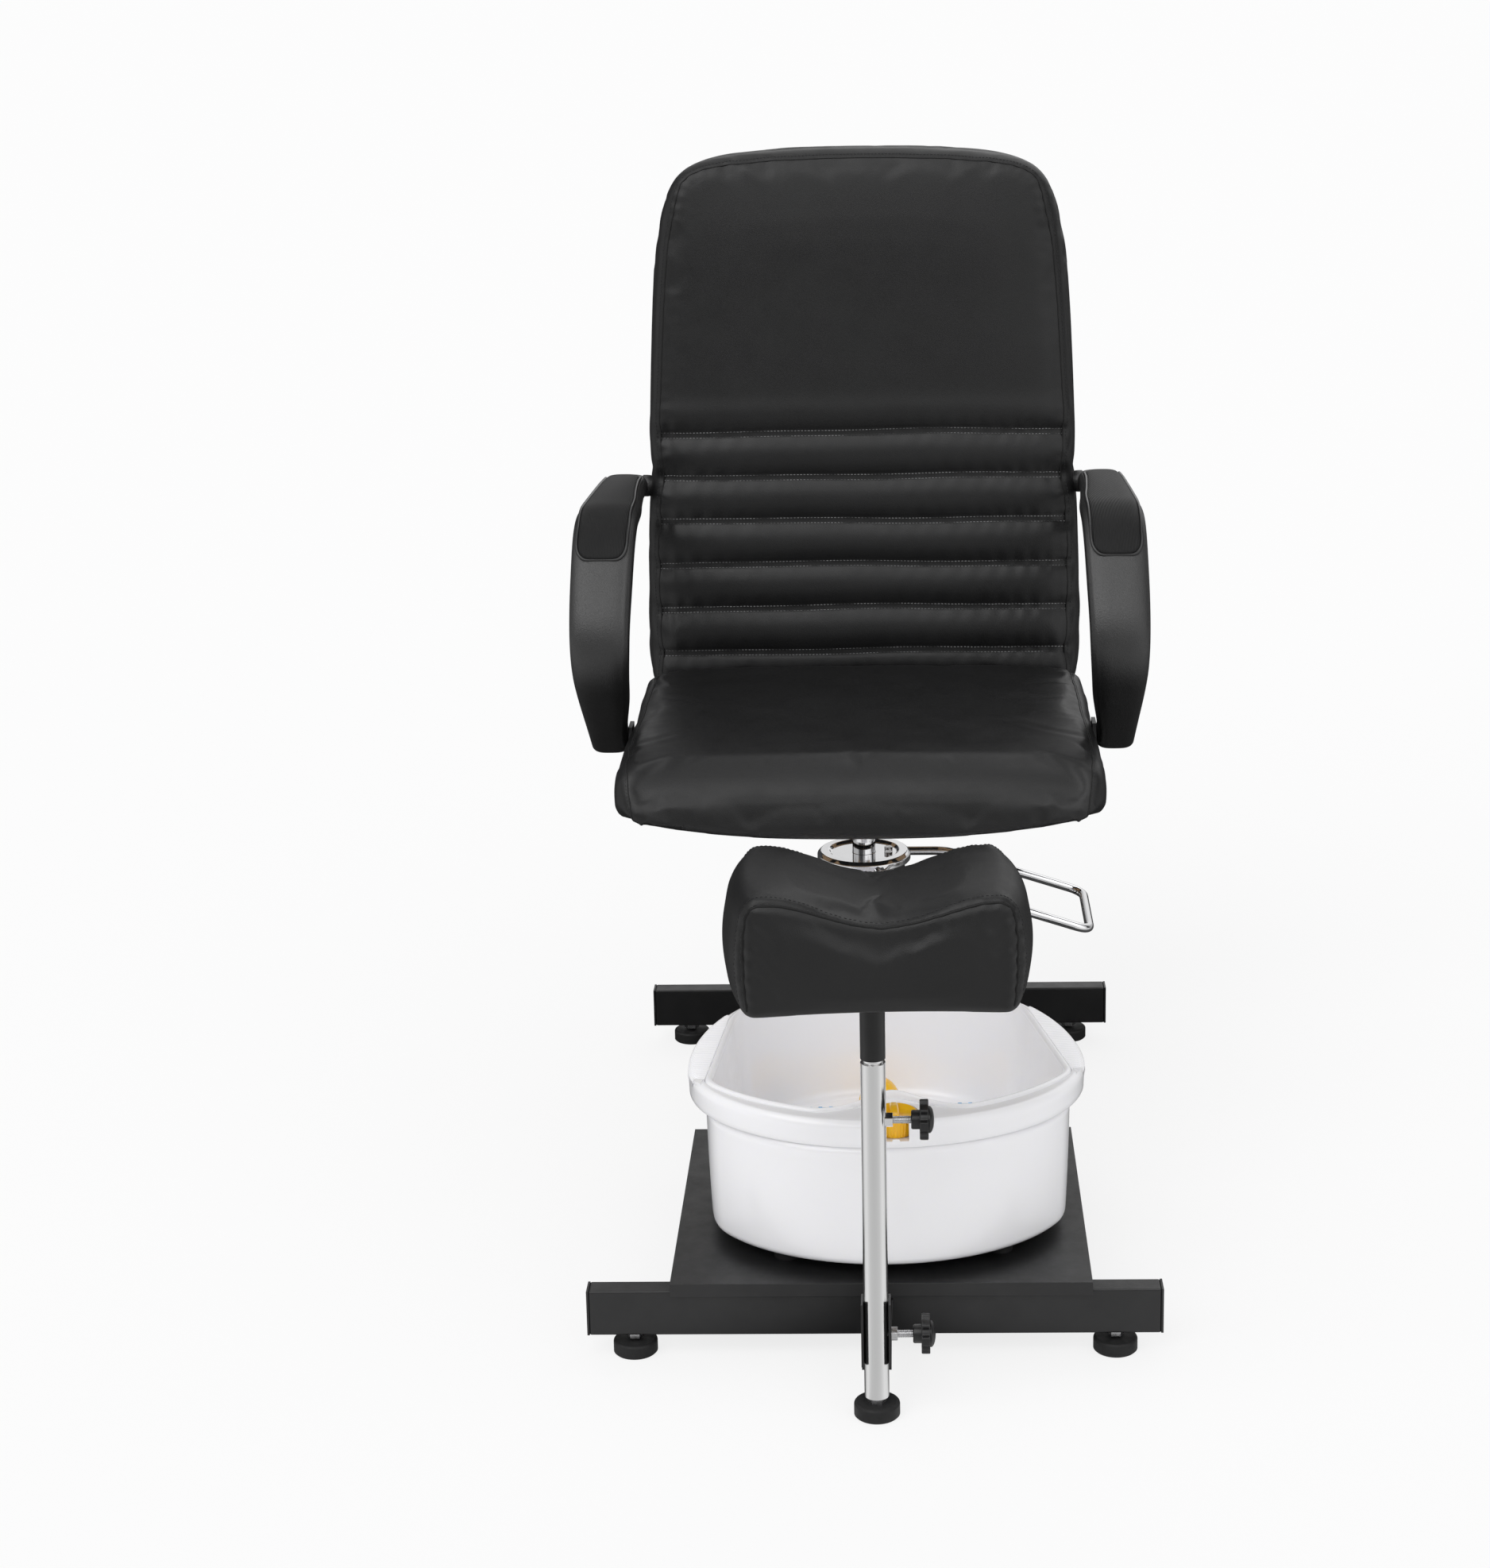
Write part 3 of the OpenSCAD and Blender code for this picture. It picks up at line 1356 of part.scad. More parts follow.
module upper_clamp_knob() {
  clamp_knob(clamp_upper_z);
}

module lower_clamp_screw() {
  clamp_screw(post_r, clamp_lower_z);
}

module lower_clamp_knob() {
  clamp_knob(clamp_lower_z);
}

// Frame of the foot bath, turned on its tray
module on_bath() {
  translate([bath_x, bath_y, 0]) rotate([0, 0, bath_turn]) children();
}

// Distance from the bath's centre to an oval drawn in by an inset, at an angle
function oval(a, inset) =
  let (rx = rim_a - inset, ry = (sin(a) < 0 ? rim_front : rim_rear) - inset)
    1 / sqrt(pow(cos(a) / rx, 2) + pow(sin(a) / ry, 2));

// The same for two straight sides that taper to the rear
function wedge(a, half, taper) =
  let (d = abs(cos(a)) + sin(a) * tan(taper))
    d > 0.001 ? (half - opening_corner_y * tan(taper)) / d : 2 * rim_rear;

// The same for the round front of the opening
opening_front_y = rim_front - rim_front_w;
opening_arc_r = (pow(opening_half, 2) + pow(opening_front_y - opening_corner_y, 2))
  / (2 * (opening_front_y - opening_corner_y));
function front_arc(a, inset) =
  let (c = opening_arc_r - opening_front_y, r = opening_arc_r - inset)
    c * sin(a) + sqrt(pow(r, 2) - pow(c * cos(a), 2));

// Distance to the edge of the basin's opening, drawn in by an inset
function opening(a, inset) = min(
  oval(a, rim_rear_w + inset), wedge(a, opening_half - inset, opening_taper),
  front_arc(a, inset) - console(a)
);

// How far the console bulges into the opening at an angle
function in_console(a) = sin(a) < 0 && abs(opening_front_y * cos(a) / sin(a)) < console_half;
function console(a) = in_console(a)
  ? console_reach * (1 + cos(180 * opening_front_y * cos(a) / sin(a) / console_half)) / 2 : 0;

// Distance to the shell's skin, drawn in by an inset
function shell(a, inset) = min(
  oval(a, shell_inset + inset), wedge(a, shell_half - inset, 0)
);

// A ring of points at a height
function ring_at(z, radii) =
  [for (i = [0 : bath_sides - 1])
    let (a = 360 * i / bath_sides) [radii[i] * cos(a), radii[i] * sin(a), z]];
function angles() = [for (i = [0 : bath_sides - 1]) 360 * i / bath_sides];
function opening_ring(z, inset) = ring_at(z, [for (a = angles()) opening(a, inset)]);
function oval_ring(z, inset) = ring_at(z, [for (a = angles()) oval(a, inset)]);
function shell_ring(z, inset) = ring_at(z, [for (a = angles()) shell(a, inset)]);

// Outer shell: an open tub with drafted walls
module bath_shell() {
  foot = shell_draft + bath_wall;
  color("#ededee") on_bath() difference() {
    skin([
      shell_ring(bath_z, foot + bath_wall), shell_ring(bath_z + bath_wall, foot - bath_wall / 2),
      shell_ring(band_z - seat_clear, 0), shell_ring(band_z - seat_clear, bath_wall),
      shell_ring(bath_z + 2 * bath_wall, foot + bath_wall / 2),
      shell_ring(bath_z + bath_wall, foot + 2 * bath_wall)
    ]);
    at_gland() cylinder(r = gland_r, h = rim_rear);
  }
}

// Ring raised into the hollow rim: it leaves the console solid round the dial
function hollow_ring(ring) =
  [for (i = [0 : bath_sides - 1])
    ring[i] + [0, 0, in_console(360 * i / bath_sides) ? bath_wall / 2 : rim_h - bath_wall]];

// Basin with its rim, the console, and the dial's pocket and notch
module bath_basin() {
  ledge = bath_wall + over;
  color("#f2f2f3") on_bath() difference() {
    skin([
      opening_ring(floor_z, 4 * basin_draft), opening_ring(floor_z, 2 * basin_draft),
      opening_ring(floor_z + basin_draft / 2, basin_draft),
      opening_ring(rim_z - bath_wall, bath_wall / 2), opening_ring(rim_z, 0),
      oval_ring(rim_z, bath_wall), oval_ring(rim_z - bath_wall, 0), oval_ring(band_z, 0),
      shell_ring(band_z, ledge), hollow_ring(shell_ring(band_z, ledge)),
      hollow_ring(opening_ring(band_z, -bath_wall / 2)), opening_ring(band_z, -bath_wall / 2),
      opening_ring(floor_z - bath_wall, basin_draft),
      opening_ring(floor_z - bath_wall, 4 * basin_draft)
    ]);
    translate([0, 0, pocket_z]) linear_extrude(height = dial_h + over) pocket();
    translate([0, dial_y, band_z - over]) cylinder(r = spindle_r + axle_gap, h = rim_h);
  }
}

// Plan of the dial's pocket, with its notch open to the front
module pocket() {
  translate([0, dial_y]) circle(r = dial_r + dial_gap);
  translate([-notch_w / 2, -rim_front - over]) square([notch_w, dial_back + over]);
}

module bath_feet() {
  color("#161617") on_bath()
    for (a = bath_foot_angles)
      translate([
        (shell(a, shell_draft) - 2 * bath_foot_r) * cos(a),
        (shell(a, shell_draft) - 2 * bath_foot_r) * sin(a), tray_top
      ]) cylinder(r = bath_foot_r, h = bath_foot_h);
}

// Floor plate with two fields of studs and the rollers' bearings
module massage_plate() {
  color("#f4f4f5") on_bath() {
    translate([0, 0, floor_z]) linear_extrude(height = mat_t)
      polygon([for (a = angles())
        let (r = opening(a, 2 * basin_draft + mat_t)) [r * cos(a), r * sin(a)]]);
    for (side = [-1, 1]) {
      for (i = [-stud_columns : stud_columns]) for (j = [-stud_rows : stud_rows])
        translate([side * roller_x + i * stud_pitch, j * stud_pitch, mat_z - mat_t / 2])
          cylinder(r1 = stud_r, r2 = stud_r / 2, h = stud_h + mat_t / 2, $fn = 24);
      for (end = [-1, 1])
        translate([side * roller_x + end * (roller_l / 2 + bearing_w / 2 + over), roller_y, 0])
          difference() {
            translate([-bearing_w / 2, -roller_r, mat_z - mat_t / 2])
              cube([bearing_w, 2 * roller_r, roller_z + 2 * axle_r - mat_z + mat_t / 2]);
            translate([-bearing_w, 0, roller_z]) rotate([0, 90, 0])
              cylinder(r = axle_r + axle_gap, h = 2 * bearing_w);
          }
    }
  }
}

// Dome over the warming lamp
module warming_dome() {
  y = rim_rear - rim_rear_w - 3 * basin_draft - dome_r;
  color("#f59a10") on_bath() translate([0, y, mat_z]) rotate_extrude() polygon(concat(
      [[0, 0]],
      [for (a = [0 : 10 : 90]) [dome_r * cos(a), dome_h * sin(a)]]
    ));
}

// Tapered dial with a chamfered top, a grip bar across it and its spindle
module control_dial() {
  edge = dial_r - dial_foot_r;
  color("#f59a10") on_bath() translate([0, dial_y, dial_z]) {
    rotate_extrude() polygon([
      [0, 0], [dial_foot_r, 0], [dial_r, dial_h - edge], [dial_foot_r, dial_h], [0, dial_h]
    ]);
    translate([-dial_bar_w / 2, edge - dial_foot_r, dial_h - edge])
      cube([dial_bar_w, 2 * (dial_foot_r - edge), edge + dial_bar_h]);
    translate([0, 0, band_z - dial_z]) cylinder(r = spindle_r, h = dial_h);
  }
}

// Ribbed massage roller with its axle
module roller(side) {
  color("#7cc4e8") on_bath()
    translate([side * roller_x - roller_l / 2, roller_y, roller_z]) rotate([0, 90, 0]) {
      cylinder(r = roller_r - over, h = roller_l);
      for (i = [0 : roller_rings - 1])
        translate([0, 0, roller_l * (2 * i + 1) / (2 * roller_rings) - roller_r / 4])
          cylinder(r = roller_r, h = roller_r / 2);
      translate([0, 0, -roller_r]) cylinder(r = axle_r, h = roller_l + 2 * roller_r);
    }
}

module left_roller() {
  roller(-1);
}

module right_roller() {
  roller(1);
}

// Flat heating element under the basin's floor
module bath_heater() {
  color("#7d5a3c") on_bath()
    translate([0, 0, floor_z - bath_wall - heater_t]) cylinder(r = heater_r, h = heater_t);
}

// Axis of the cord's gland, from inside the shell's rear wall towards the rear
module at_gland() {
  y = rim_rear - shell_inset - shell_draft - bath_wall - gland_l;
  translate([0, y, bath_z + gland_z]) rotate([-90, 0, 0]) children();
}

// Rubber gland in the shell's rear wall, with a collar outside
module cord_gland() {
  color("#161617") on_bath() at_gland() {
    cylinder(r = gland_r, h = 2 * gland_l);
    translate([0, 0, gland_l + bath_wall + seat_clear])
      cylinder(r = gland_r + gland_collar, h = gland_l - bath_wall - seat_clear);
  }
}

// Vibration motor beside the heater
module bath_motor() {
  color("#9a9a9c") on_bath()
    translate([-motor_l / 2, motor_y, floor_z - bath_wall - motor_r]) rotate([0, 90, 0])
      cylinder(r = motor_r, h = motor_l);
}

front_rail();
rear_rail();
rail_end_caps();
beams();
tray();
small_screws();
pump_plate();
post_arm();
post_cradle();
cradle_nut();
foot_nuts();
pump_flange();
pump_cylinder();
pump_bolts();
pump_cap();
front_left_foot();
front_right_foot();
rear_left_foot();
rear_right_foot();
piston();
seat_plate();
seat_bolts();
seat_board();
seat_cushion();
back_bars();
back_board();
back_cushion();
left_arm();
right_arm();
left_arm_pad();
right_arm_pad();
arm_bar();
arm_bolts();
pedal_loop();
pedal_shaft();
outer_post();
post_nut();
post_foot();
post_ferrule();
inner_post();
footrest_socket();
footrest_plate();
footrest_board();
footrest_pad();
footrest_screws();
upper_clamp_screw();
upper_clamp_knob();
lower_clamp_screw();
lower_clamp_knob();
bath_shell();
bath_basin();
bath_feet();
massage_plate();
warming_dome();
control_dial();
left_roller();
right_roller();
bath_heater();
bath_motor();
cord_gland();
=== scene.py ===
import json
import math

import bpy
import numpy as np
from mathutils import Matrix, Vector
from mathutils.bvhtree import BVHTree
from mathutils.kdtree import KDTree


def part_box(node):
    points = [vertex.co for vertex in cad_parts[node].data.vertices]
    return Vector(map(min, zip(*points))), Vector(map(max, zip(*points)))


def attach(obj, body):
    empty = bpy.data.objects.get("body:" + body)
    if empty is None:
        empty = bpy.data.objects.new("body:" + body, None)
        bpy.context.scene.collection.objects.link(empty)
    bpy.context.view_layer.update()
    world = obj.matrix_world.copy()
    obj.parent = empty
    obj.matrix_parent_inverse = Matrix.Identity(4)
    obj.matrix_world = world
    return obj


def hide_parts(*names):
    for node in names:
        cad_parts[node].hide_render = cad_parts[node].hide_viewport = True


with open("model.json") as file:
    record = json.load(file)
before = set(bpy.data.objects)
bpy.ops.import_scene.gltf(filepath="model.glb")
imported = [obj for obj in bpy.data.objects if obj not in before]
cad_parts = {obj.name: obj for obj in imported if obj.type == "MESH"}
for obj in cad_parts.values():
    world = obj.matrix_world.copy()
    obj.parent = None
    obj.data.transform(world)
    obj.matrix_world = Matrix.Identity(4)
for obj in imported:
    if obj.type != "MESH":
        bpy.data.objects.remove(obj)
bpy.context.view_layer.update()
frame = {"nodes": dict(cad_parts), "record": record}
NODES = frame["nodes"]
MM = 0.001

# Places shared with the solids, in millimetres
FRONT_Y = -407.828
PUMP_Y = FRONT_Y + 620
POST_X, POST_Y = 17.0, FRONT_Y - 127
BATH_X, BATH_Y, BATH_TURN = 28.0, FRONT_Y + 173, math.radians(3.5)
BACK_Y, BACK_Z, BACK_LEAN = FRONT_Y + 837, 490.0, math.radians(8.8)
PAD_TURN = math.radians(2.5)
PAD_SHIFT = 5.8
UPPER_CLAMP_Z, LOWER_CLAMP_Z = 319.0, 88.7
SEAT_FRONT, SEAT_TOP, SEAT_UNDER = -84, 538, 468.5
# Backrest: its face's depth for laying seams, and the sewn channels' number, places and stitch rows
BACK_FACE, CHANNELS, CHANNEL_LOW, CHANNEL_STEP, STITCH_AWAY = 14, 6, 62, 55.7, 3.3
# Footrest: height of its humps, depth of its saddle, half length, and distance of its end seams
PAD_TOP, SADDLE, PAD_FRONT, PAD_SEAM = 574.3, 22.8, 88, 88.5

# Light and stage
WHITE = (1, 1, 1, 1)
AMBIENT, FLAG_COUNT = 0.56, 3.0
FLOOR_HALF = 250.0
# Distance of the footrest's post before the middle, in metres
POST_AWAY = 0.535
# Shade of the floor in reflections, by direction from the post: 0 to the front, 1 to the rear
FLOOR_SHADES = (
    (0.0, 0.60), (0.13, 0.66), (0.36, 0.88), (0.60, 0.84), (0.78, 0.36), (0.90, 0.07), (1.0, 0.05)
)


# Camera, light and stage
def make_camera():
    pitch, yaw, roll = (math.radians(v) for v in (14.1660, 1.2968, -0.8647))
    ahead = Vector((-math.sin(yaw), math.cos(yaw), 0))
    right = Vector((math.cos(yaw), math.sin(yaw), 0))
    up = Vector((0, 0, 1))
    look = ahead * math.cos(pitch) - up * math.sin(pitch)
    top = ahead * math.sin(pitch) + up * math.cos(pitch)
    side = right * math.cos(roll) + top * math.sin(roll)
    head = -right * math.sin(roll) + top * math.cos(roll)
    turn = Matrix((side, head, -look)).transposed().to_4x4()
    data = bpy.data.cameras.new("camera")
    data.sensor_width = 36
    data.lens = 68.426
    data.shift_x = -0.0598
    data.shift_y = -0.0800
    data.clip_end = 500
    camera = bpy.data.objects.new("camera", data)
    camera.matrix_world = Matrix.Translation(Vector((0.0515, -3.2677, 1.4775))) @ turn
    bpy.context.scene.collection.objects.link(camera)
    bpy.context.scene.camera = camera


def add_node(tree, kind, inputs=None, **properties):
    """A shader node with the given input values and properties."""
    node = tree.nodes.new(kind)
    for key, value in properties.items():
        setattr(node, key, value)
    for key, value in (inputs or {}).items():
        node.inputs[key].default_value = value
    return node


def wire(tree, *links):
    """Links nodes, each link given as node, output, node, input."""
    for source, output, target, place in links:
        tree.links.new(source.outputs[output], target.inputs[place])


def set_stops(ramp, stops):
    """Gives a colour ramp its stops, each as place and colour."""
    elements = ramp.color_ramp.elements
    for k, (place, colour) in enumerate(stops):
        stop = elements[k] if k < 2 else elements.new(place)
        stop.position = place
        stop.color = (*colour, 1)


def make_light():
    scene = bpy.context.scene
    scene.view_settings.view_transform = "Standard"
    world = bpy.data.worlds.new("studio")
    scene.world = world
    world.use_nodes = True
    tree = world.node_tree
    tree.nodes.clear()
    out = add_node(tree, "ShaderNodeOutputWorld")
    plain = add_node(tree, "ShaderNodeBackground", {"Color": WHITE, "Strength": AMBIENT})
    seen = add_node(tree, "ShaderNodeBackground", {"Color": WHITE, "Strength": 1.0})
    glossy = add_node(tree, "ShaderNodeBackground", {"Strength": 1.0})
    rays = add_node(tree, "ShaderNodeLightPath")
    # soft dark flags between the softboxes, only in reflections
    coord = add_node(tree, "ShaderNodeTexCoord")
    split = add_node(tree, "ShaderNodeSeparateXYZ")
    turn = add_node(tree, "ShaderNodeMath", operation="ARCTAN2")
    times = add_node(tree, "ShaderNodeMath", {1: FLAG_COUNT}, operation="MULTIPLY")
    wave = add_node(tree, "ShaderNodeMath", operation="SINE")
    shift = add_node(tree, "ShaderNodeMath", {1: 0.5, 2: 0.5}, operation="MULTIPLY_ADD")
    ramp = add_node(tree, "ShaderNodeValToRGB")
    set_stops(ramp, [(0.12, (0.10, 0.10, 0.105)), (0.55, (1, 1, 1))])
    span = {"From Min": 0.50, "From Max": 0.86, "To Min": 0.50, "To Max": 1.15}
    height = add_node(tree, "ShaderNodeMapRange", span)
    light = add_node(tree, "ShaderNodeMixShader")
    mix = add_node(tree, "ShaderNodeMixShader")
    wire(tree, (coord, "Generated", split, 0), (split, "X", turn, 0), (split, "Y", turn, 1),
         (turn, 0, times, 0), (times, 0, wave, 0), (wave, 0, shift, 0), (shift, 0, ramp, 0),
         (ramp, 0, glossy, "Color"), (split, "Z", height, "Value"), (height, 0, glossy, "Strength"),
         (rays, "Is Glossy Ray", light, 0), (plain, 0, light, 1), (glossy, 0, light, 2),
         (rays, "Is Camera Ray", mix, 0), (light, 0, mix, 1), (seen, 0, mix, 2),
         (mix, 0, out, "Surface"))
    for name, strength, angle, direction in (
        ("key", 1.25, 50, (-0.55, -0.75, 1.0)),
        ("fill", 0.62, 70, (0.9, -0.8, 0.7)),
        ("back", 0.35, 70, (0.1, 1.0, 0.8)),
    ):
        data = bpy.data.lights.new(name, "SUN")
        data.energy = strength
        data.angle = math.radians(angle)
        lamp = bpy.data.objects.new(name, data)
        lamp.rotation_euler = Vector(direction).to_track_quat("Z", "Y").to_euler()
        scene.collection.objects.link(lamp)


def make_floor():
    """White floor; chrome sees it shaded by the direction from the post, as between softboxes."""
    mesh = bpy.data.meshes.new("floor")
    size = FLOOR_HALF
    mesh.from_pydata(
        [(-size, -size, 0), (size, -size, 0), (size, size, 0), (-size, size, 0)], [], [(0, 1, 2, 3)]
    )
    floor = bpy.data.objects.new("floor", mesh)
    bpy.context.scene.collection.objects.link(floor)
    mat = bpy.data.materials.new("floor")
    mat.use_nodes = True
    tree = mat.node_tree
    tree.nodes.clear()
    out = add_node(tree, "ShaderNodeOutputMaterial")
    paper = add_node(tree, "ShaderNodeBsdfDiffuse", {"Color": (0.86, 0.86, 0.865, 1)})
    glow = add_node(tree, "ShaderNodeEmission", {"Color": WHITE, "Strength": 1.0})
    flags = add_node(tree, "ShaderNodeEmission")
    rays = add_node(tree, "ShaderNodeLightPath")
    scale = add_node(tree, "ShaderNodeMath", {1: 0.80}, operation="MULTIPLY")
    coord = add_node(tree, "ShaderNodeTexCoord")
    split = add_node(tree, "ShaderNodeSeparateXYZ")
    near = add_node(tree, "ShaderNodeMath", {1: POST_AWAY})
    flat = add_node(tree, "ShaderNodeCombineXYZ")
    unit = add_node(tree, "ShaderNodeVectorMath", operation="NORMALIZE")
    parts = add_node(tree, "ShaderNodeSeparateXYZ")
    half = add_node(tree, "ShaderNodeMath", {1: 0.5, 2: 0.5}, operation="MULTIPLY_ADD")
    ramp = add_node(tree, "ShaderNodeValToRGB")
    set_stops(ramp, [(place, (shade, shade, shade)) for place, shade in FLOOR_SHADES])
    mix = add_node(tree, "ShaderNodeMixShader")
    last = add_node(tree, "ShaderNodeMixShader")
    wire(tree, (coord, "Object", split, 0), (split, "Y", near, 0), (split, "X", flat, "X"),
         (near, 0, flat, "Y"), (flat, 0, unit, 0), (unit, 0, parts, 0), (parts, "Y", half, 0),
         (half, 0, ramp, 0), (ramp, 0, flags, "Color"), (rays, "Is Camera Ray", scale, 0),
         (scale, 0, mix, 0), (paper, 0, mix, 1), (glow, 0, mix, 2),
         (rays, "Is Glossy Ray", last, 0), (mix, 0, last, 1), (flags, 0, last, 2),
         (last, 0, out, "Surface"))
    mesh.materials.append(mat)


# Materials
class Shader:
    """A principled material whose colour, roughness and bump come from noise in object space."""

    def __init__(self, name, colour, rough, metal=0.0, specular=0.5, coat=0.0, coat_rough=0.1):
        self.name = name
        self.mat = bpy.data.materials.new(name)
        self.mat.use_nodes = True
        self.tree = self.mat.node_tree
        self.bsdf = self.tree.nodes["Principled BSDF"]
        self.coord = add_node(self.tree, "ShaderNodeTexCoord")
        self.colour = colour
        self.bump = None
        self.set({"Base Color": (*colour, 1), "Roughness": rough, "Metallic": metal, "IOR": 1.5,
                  "Specular IOR Level": specular, "Coat Weight": coat, "Coat Roughness": coat_rough})

    def set(self, values):
        for key, value in values.items():
            self.bsdf.inputs[key].default_value = value

    def link(self, a, b):
        self.tree.links.new(a, b)

    def new(self, kind, stretch, inputs, **properties):
        """A texture node that reads object space, stretched along its axes."""
        node = add_node(self.tree, kind, inputs, **properties)
        vector = self.coord.outputs["Object"]
        if not np.isscalar(stretch):
            mapping = add_node(self.tree, "ShaderNodeMapping", {"Scale": stretch})
            self.link(vector, mapping.inputs["Vector"])
            vector = mapping.outputs["Vector"]
        self.link(vector, node.inputs["Vector"])
        return node

    def noise(self, scale, detail=3, rough=0.55, stretch=1.0, distortion=0.0):
        values = {"Scale": scale, "Detail": detail, "Roughness": rough, "Distortion": distortion}
        return self.new("ShaderNodeTexNoise", stretch, values).outputs["Fac"]

    def cells(self, scale):
        values = {"Scale": scale, "Randomness": 1.0}
        return self.new("ShaderNodeTexVoronoi", 1.0, values, feature="F1").outputs["Distance"]

    def wave(self, scale, stretch):
        values = {"Scale": scale, "Distortion": 0.0}
        return self.new("ShaderNodeTexWave", stretch, values, wave_type="BANDS", bands_direction="X",
                        wave_profile="SIN").outputs["Fac"]

    def tint(self, fac, spread, a=0.3, b=0.7):
        low = [c * (1 - spread) for c in self.colour]
        high = [min(1, c * (1 + spread)) for c in self.colour]
        ramp = add_node(self.tree, "ShaderNodeValToRGB")
        set_stops(ramp, [(a, low), (b, high)])
        self.link(fac, ramp.inputs["Fac"])
        self.link(ramp.outputs["Color"], self.bsdf.inputs["Base Color"])

    def worn(self, fac, low, high):
        span = {"From Min": 0.3, "From Max": 0.7, "To Min": low, "To Max": high}
        node = add_node(self.tree, "ShaderNodeMapRange", span)
        self.link(fac, node.inputs["Value"])
        self.link(node.outputs[0], self.bsdf.inputs["Roughness"])

    def raise_by(self, fac, distance, strength):
        node = add_node(self.tree, "ShaderNodeBump", {"Distance": distance, "Strength": strength})
        self.link(fac, node.inputs["Height"])
        if self.bump is not None:
            self.link(self.bump, node.inputs["Normal"])
        self.bump = node.outputs["Normal"]
        self.link(self.bump, self.bsdf.inputs["Normal"])


def leather():
    s = surface("black_leather", (0.0085, 0.0085, 0.0088), 0.42, (0.14, 9, 4), (0.36, 0.48, 26, 5, 0.6),
                specular=0.40)
    s.raise_by(s.cells(1150), 0.00016, 0.55)
    s.raise_by(s.noise(420, 4, 0.6, distortion=0.6), 0.00012, 0.6)
    s.raise_by(s.noise(34, 3, 0.5), 0.0006, 0.25)
    return s


def surface(name, colour, rough, tint=None, worn=None, bumps=(), **look):
    """A Shader with layers of noise, each layer's values before the arguments of its noise.

    tint is (spread, ...), worn is (lowest, highest roughness, ...), a bump is (distance, strength, ...).
    """
    s = Shader(name, colour, rough, **look)
    if tint:
        s.tint(s.noise(*tint[1:]), tint[0])
    if worn:
        s.worn(s.noise(*worn[2:]), *worn[:2])
    for distance, strength, *noise in bumps:
        s.raise_by(s.noise(*noise), distance, strength)
    return s


